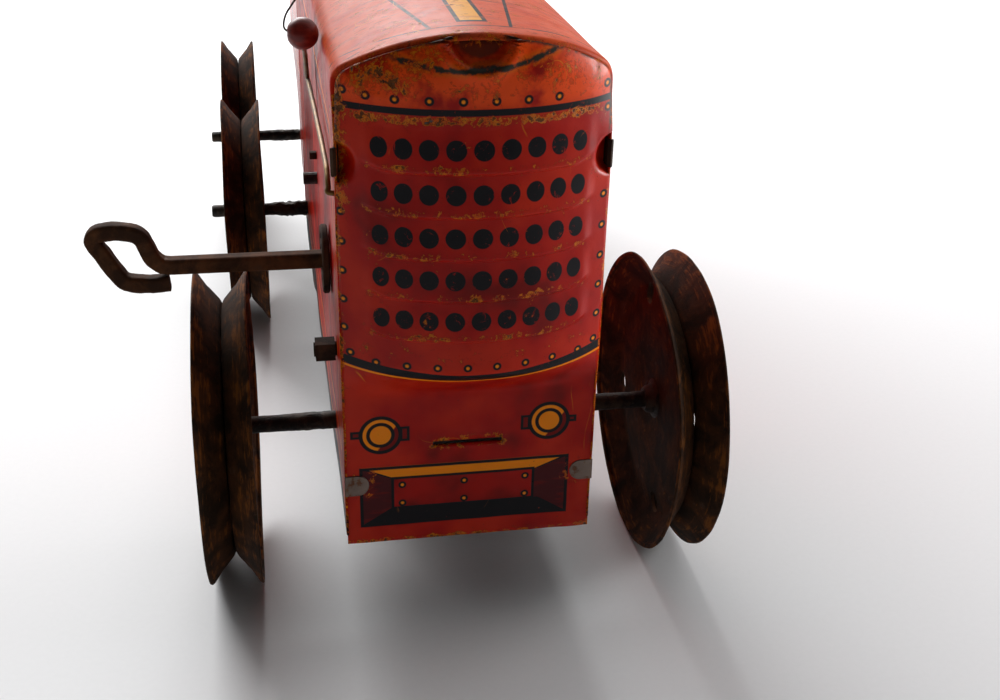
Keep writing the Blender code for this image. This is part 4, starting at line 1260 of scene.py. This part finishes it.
def make_paints():
    """Every material by a short name."""
    return {
        "front": front_paint(),
        "hood": side_paint(),
        "cab": cab_paint(),
        "roof": plain_tin_paint("printed_roof", (0.014, 0.011, 0.011), (0.035, 0.028, 0.026)),
        "floor_tin": plain_tin_paint("black_tin", (0.012, 0.010, 0.010), (0.03, 0.022, 0.02)),
        "worn_tin": steel_paint("worn_tin", (0.16, 0.12, 0.10), 0.10, 0.5),
        "wheel": rust_paint("rusty_wheel", (0.018, 0.008, 0.003), (0.066, 0.023, 0.007), (0.26, 0.080, 0.010),
                            0.02, True),
        "key": rust_paint("rusty_key", (0.036, 0.015, 0.007), (0.105, 0.040, 0.014), (0.17, 0.055, 0.014),
                          -0.02),
        "rust": rust_paint("rusty_fitting", (0.022, 0.012, 0.008), (0.07, 0.032, 0.016), (0.14, 0.05, 0.016),
                           -0.04),
        "steel": steel_paint("dull_steel", (0.28, 0.26, 0.24)),
        "spring": steel_paint("blued_spring", (0.07, 0.08, 0.13), -0.05, 0.28),
        "brass": brass_paint(),
        "wood": wood_paint(),
        "grime": grime_paint(),
        "paper": floor_paint(),
    }


def carry_over():
    """Better materials for the CAD nodes that still show."""
    by_slot = {"red_tin": "cab", "rusty_steel": "rust", "black_iron": "grime", "grey_steel": "steel",
               "brass": "brass", "spring_steel": "spring", "red_wood": "wood"}
    by_node = {"cab_roof": "roof", "cab_floor": "floor_tin", "cross_rod": "rust", "cross_rod_nut": "rust"}
    slots = {entry["node"]: entry["material_slot"] for entry in frame["record"]["subparts"]}
    for name, node in frame["nodes"].items():
        paint = PAINTS[by_node.get(name, by_slot[slots[name]])]
        node.data.materials.clear()
        node.data.materials.append(paint)


def area_light(name, place, target, size, power, colour=(1.0, 1.0, 1.0)):
    """A soft box aimed at a point."""
    data = bpy.data.lights.new(name, "AREA")
    data.shape = "RECTANGLE"
    data.size, data.size_y = size
    data.energy = power
    data.color = colour
    lamp = bpy.data.objects.new(name, data)
    lamp.location = place
    lamp.rotation_euler = (Vector(target) - Vector(place)).to_track_quat("-Z", "Y").to_euler()
    bpy.context.scene.collection.objects.link(lamp)
    return lamp


def build_studio():
    """Pale floor, bright surround and soft light from behind and above."""
    bm = bmesh.new()
    bmesh.ops.create_grid(bm, x_segments=8, y_segments=8, size=6.0)
    mesh = bpy.data.meshes.new("floor")
    bm.to_mesh(mesh)
    bm.free()
    mesh.materials.append(PAINTS["paper"])
    floor = bpy.data.objects.new("floor", mesh)
    floor.location = (0.0, 0.0, -0.00005)
    bpy.context.scene.collection.objects.link(floor)
    world = bpy.data.worlds.new("studio")
    bpy.context.scene.world = world
    world.use_nodes = True
    nodes = world.node_tree.nodes
    links = world.node_tree.links
    background = nodes["Background"]
    coords = nodes.new("ShaderNodeTexCoord")
    facing = nodes.new("ShaderNodeVectorMath")
    facing.operation = "DOT_PRODUCT"
    facing.inputs[1].default_value = Vector((0.36, 0.93, 0.05)).normalized()
    links.new(coords.outputs["Generated"], facing.inputs[0])
    towards_back = nodes.new("ShaderNodeMapRange")
    towards_back.interpolation_type = "SMOOTHSTEP"
    towards_back.inputs["From Min"].default_value = -0.35
    towards_back.inputs["From Max"].default_value = 0.85
    towards_back.inputs["To Min"].default_value = 0.035
    towards_back.inputs["To Max"].default_value = 0.85
    links.new(facing.outputs["Value"], towards_back.inputs["Value"])
    links.new(towards_back.outputs["Result"], background.inputs["Strength"])
    background.inputs["Color"].default_value = (1.0, 1.0, 1.0, 1.0)
    area_light("back_box", (-0.25, 0.90, 0.68), (0.0, 0.08, 0.0), (0.9, 0.6), 17.0)
    area_light("right_box", (0.95, 0.02, 0.2), (0.0, 0.0, 0.08), (0.5, 0.3), 8.0)


def build_camera():
    """The picture's viewpoint: just left of the toy, above its nose, looking down and a little right."""
    data = bpy.data.cameras.new("camera")
    data.sensor_width = 36.0
    data.lens = 46.09
    camera = bpy.data.objects.new("camera", data)
    yaw = math.radians(10.877)
    pitch = math.radians(26.304)
    roll = math.radians(1.5056)
    forward = Vector((math.sin(yaw) * math.cos(pitch), math.cos(yaw) * math.cos(pitch), -math.sin(pitch)))
    level_right = Vector((math.cos(yaw), -math.sin(yaw), 0.0))
    level_up = level_right.cross(forward)
    right = level_right * math.cos(roll) + level_up * math.sin(roll)
    up = right.cross(forward)
    turn = Matrix((right, up, -forward)).transposed()
    camera.matrix_world = Matrix.Translation(to_world(-37.45, -254.7, 178.3)) @ turn.to_4x4()
    bpy.context.scene.collection.objects.link(camera)
    bpy.context.scene.camera = camera


PAINTS = make_paints()
carry_over()
build_front()
build_hood()
build_tabs()
build_plate_tab()
build_wheels()
build_axles()
build_key()
build_lever()
build_studio()
build_camera()
bpy.context.scene.view_settings.view_transform = "Standard"
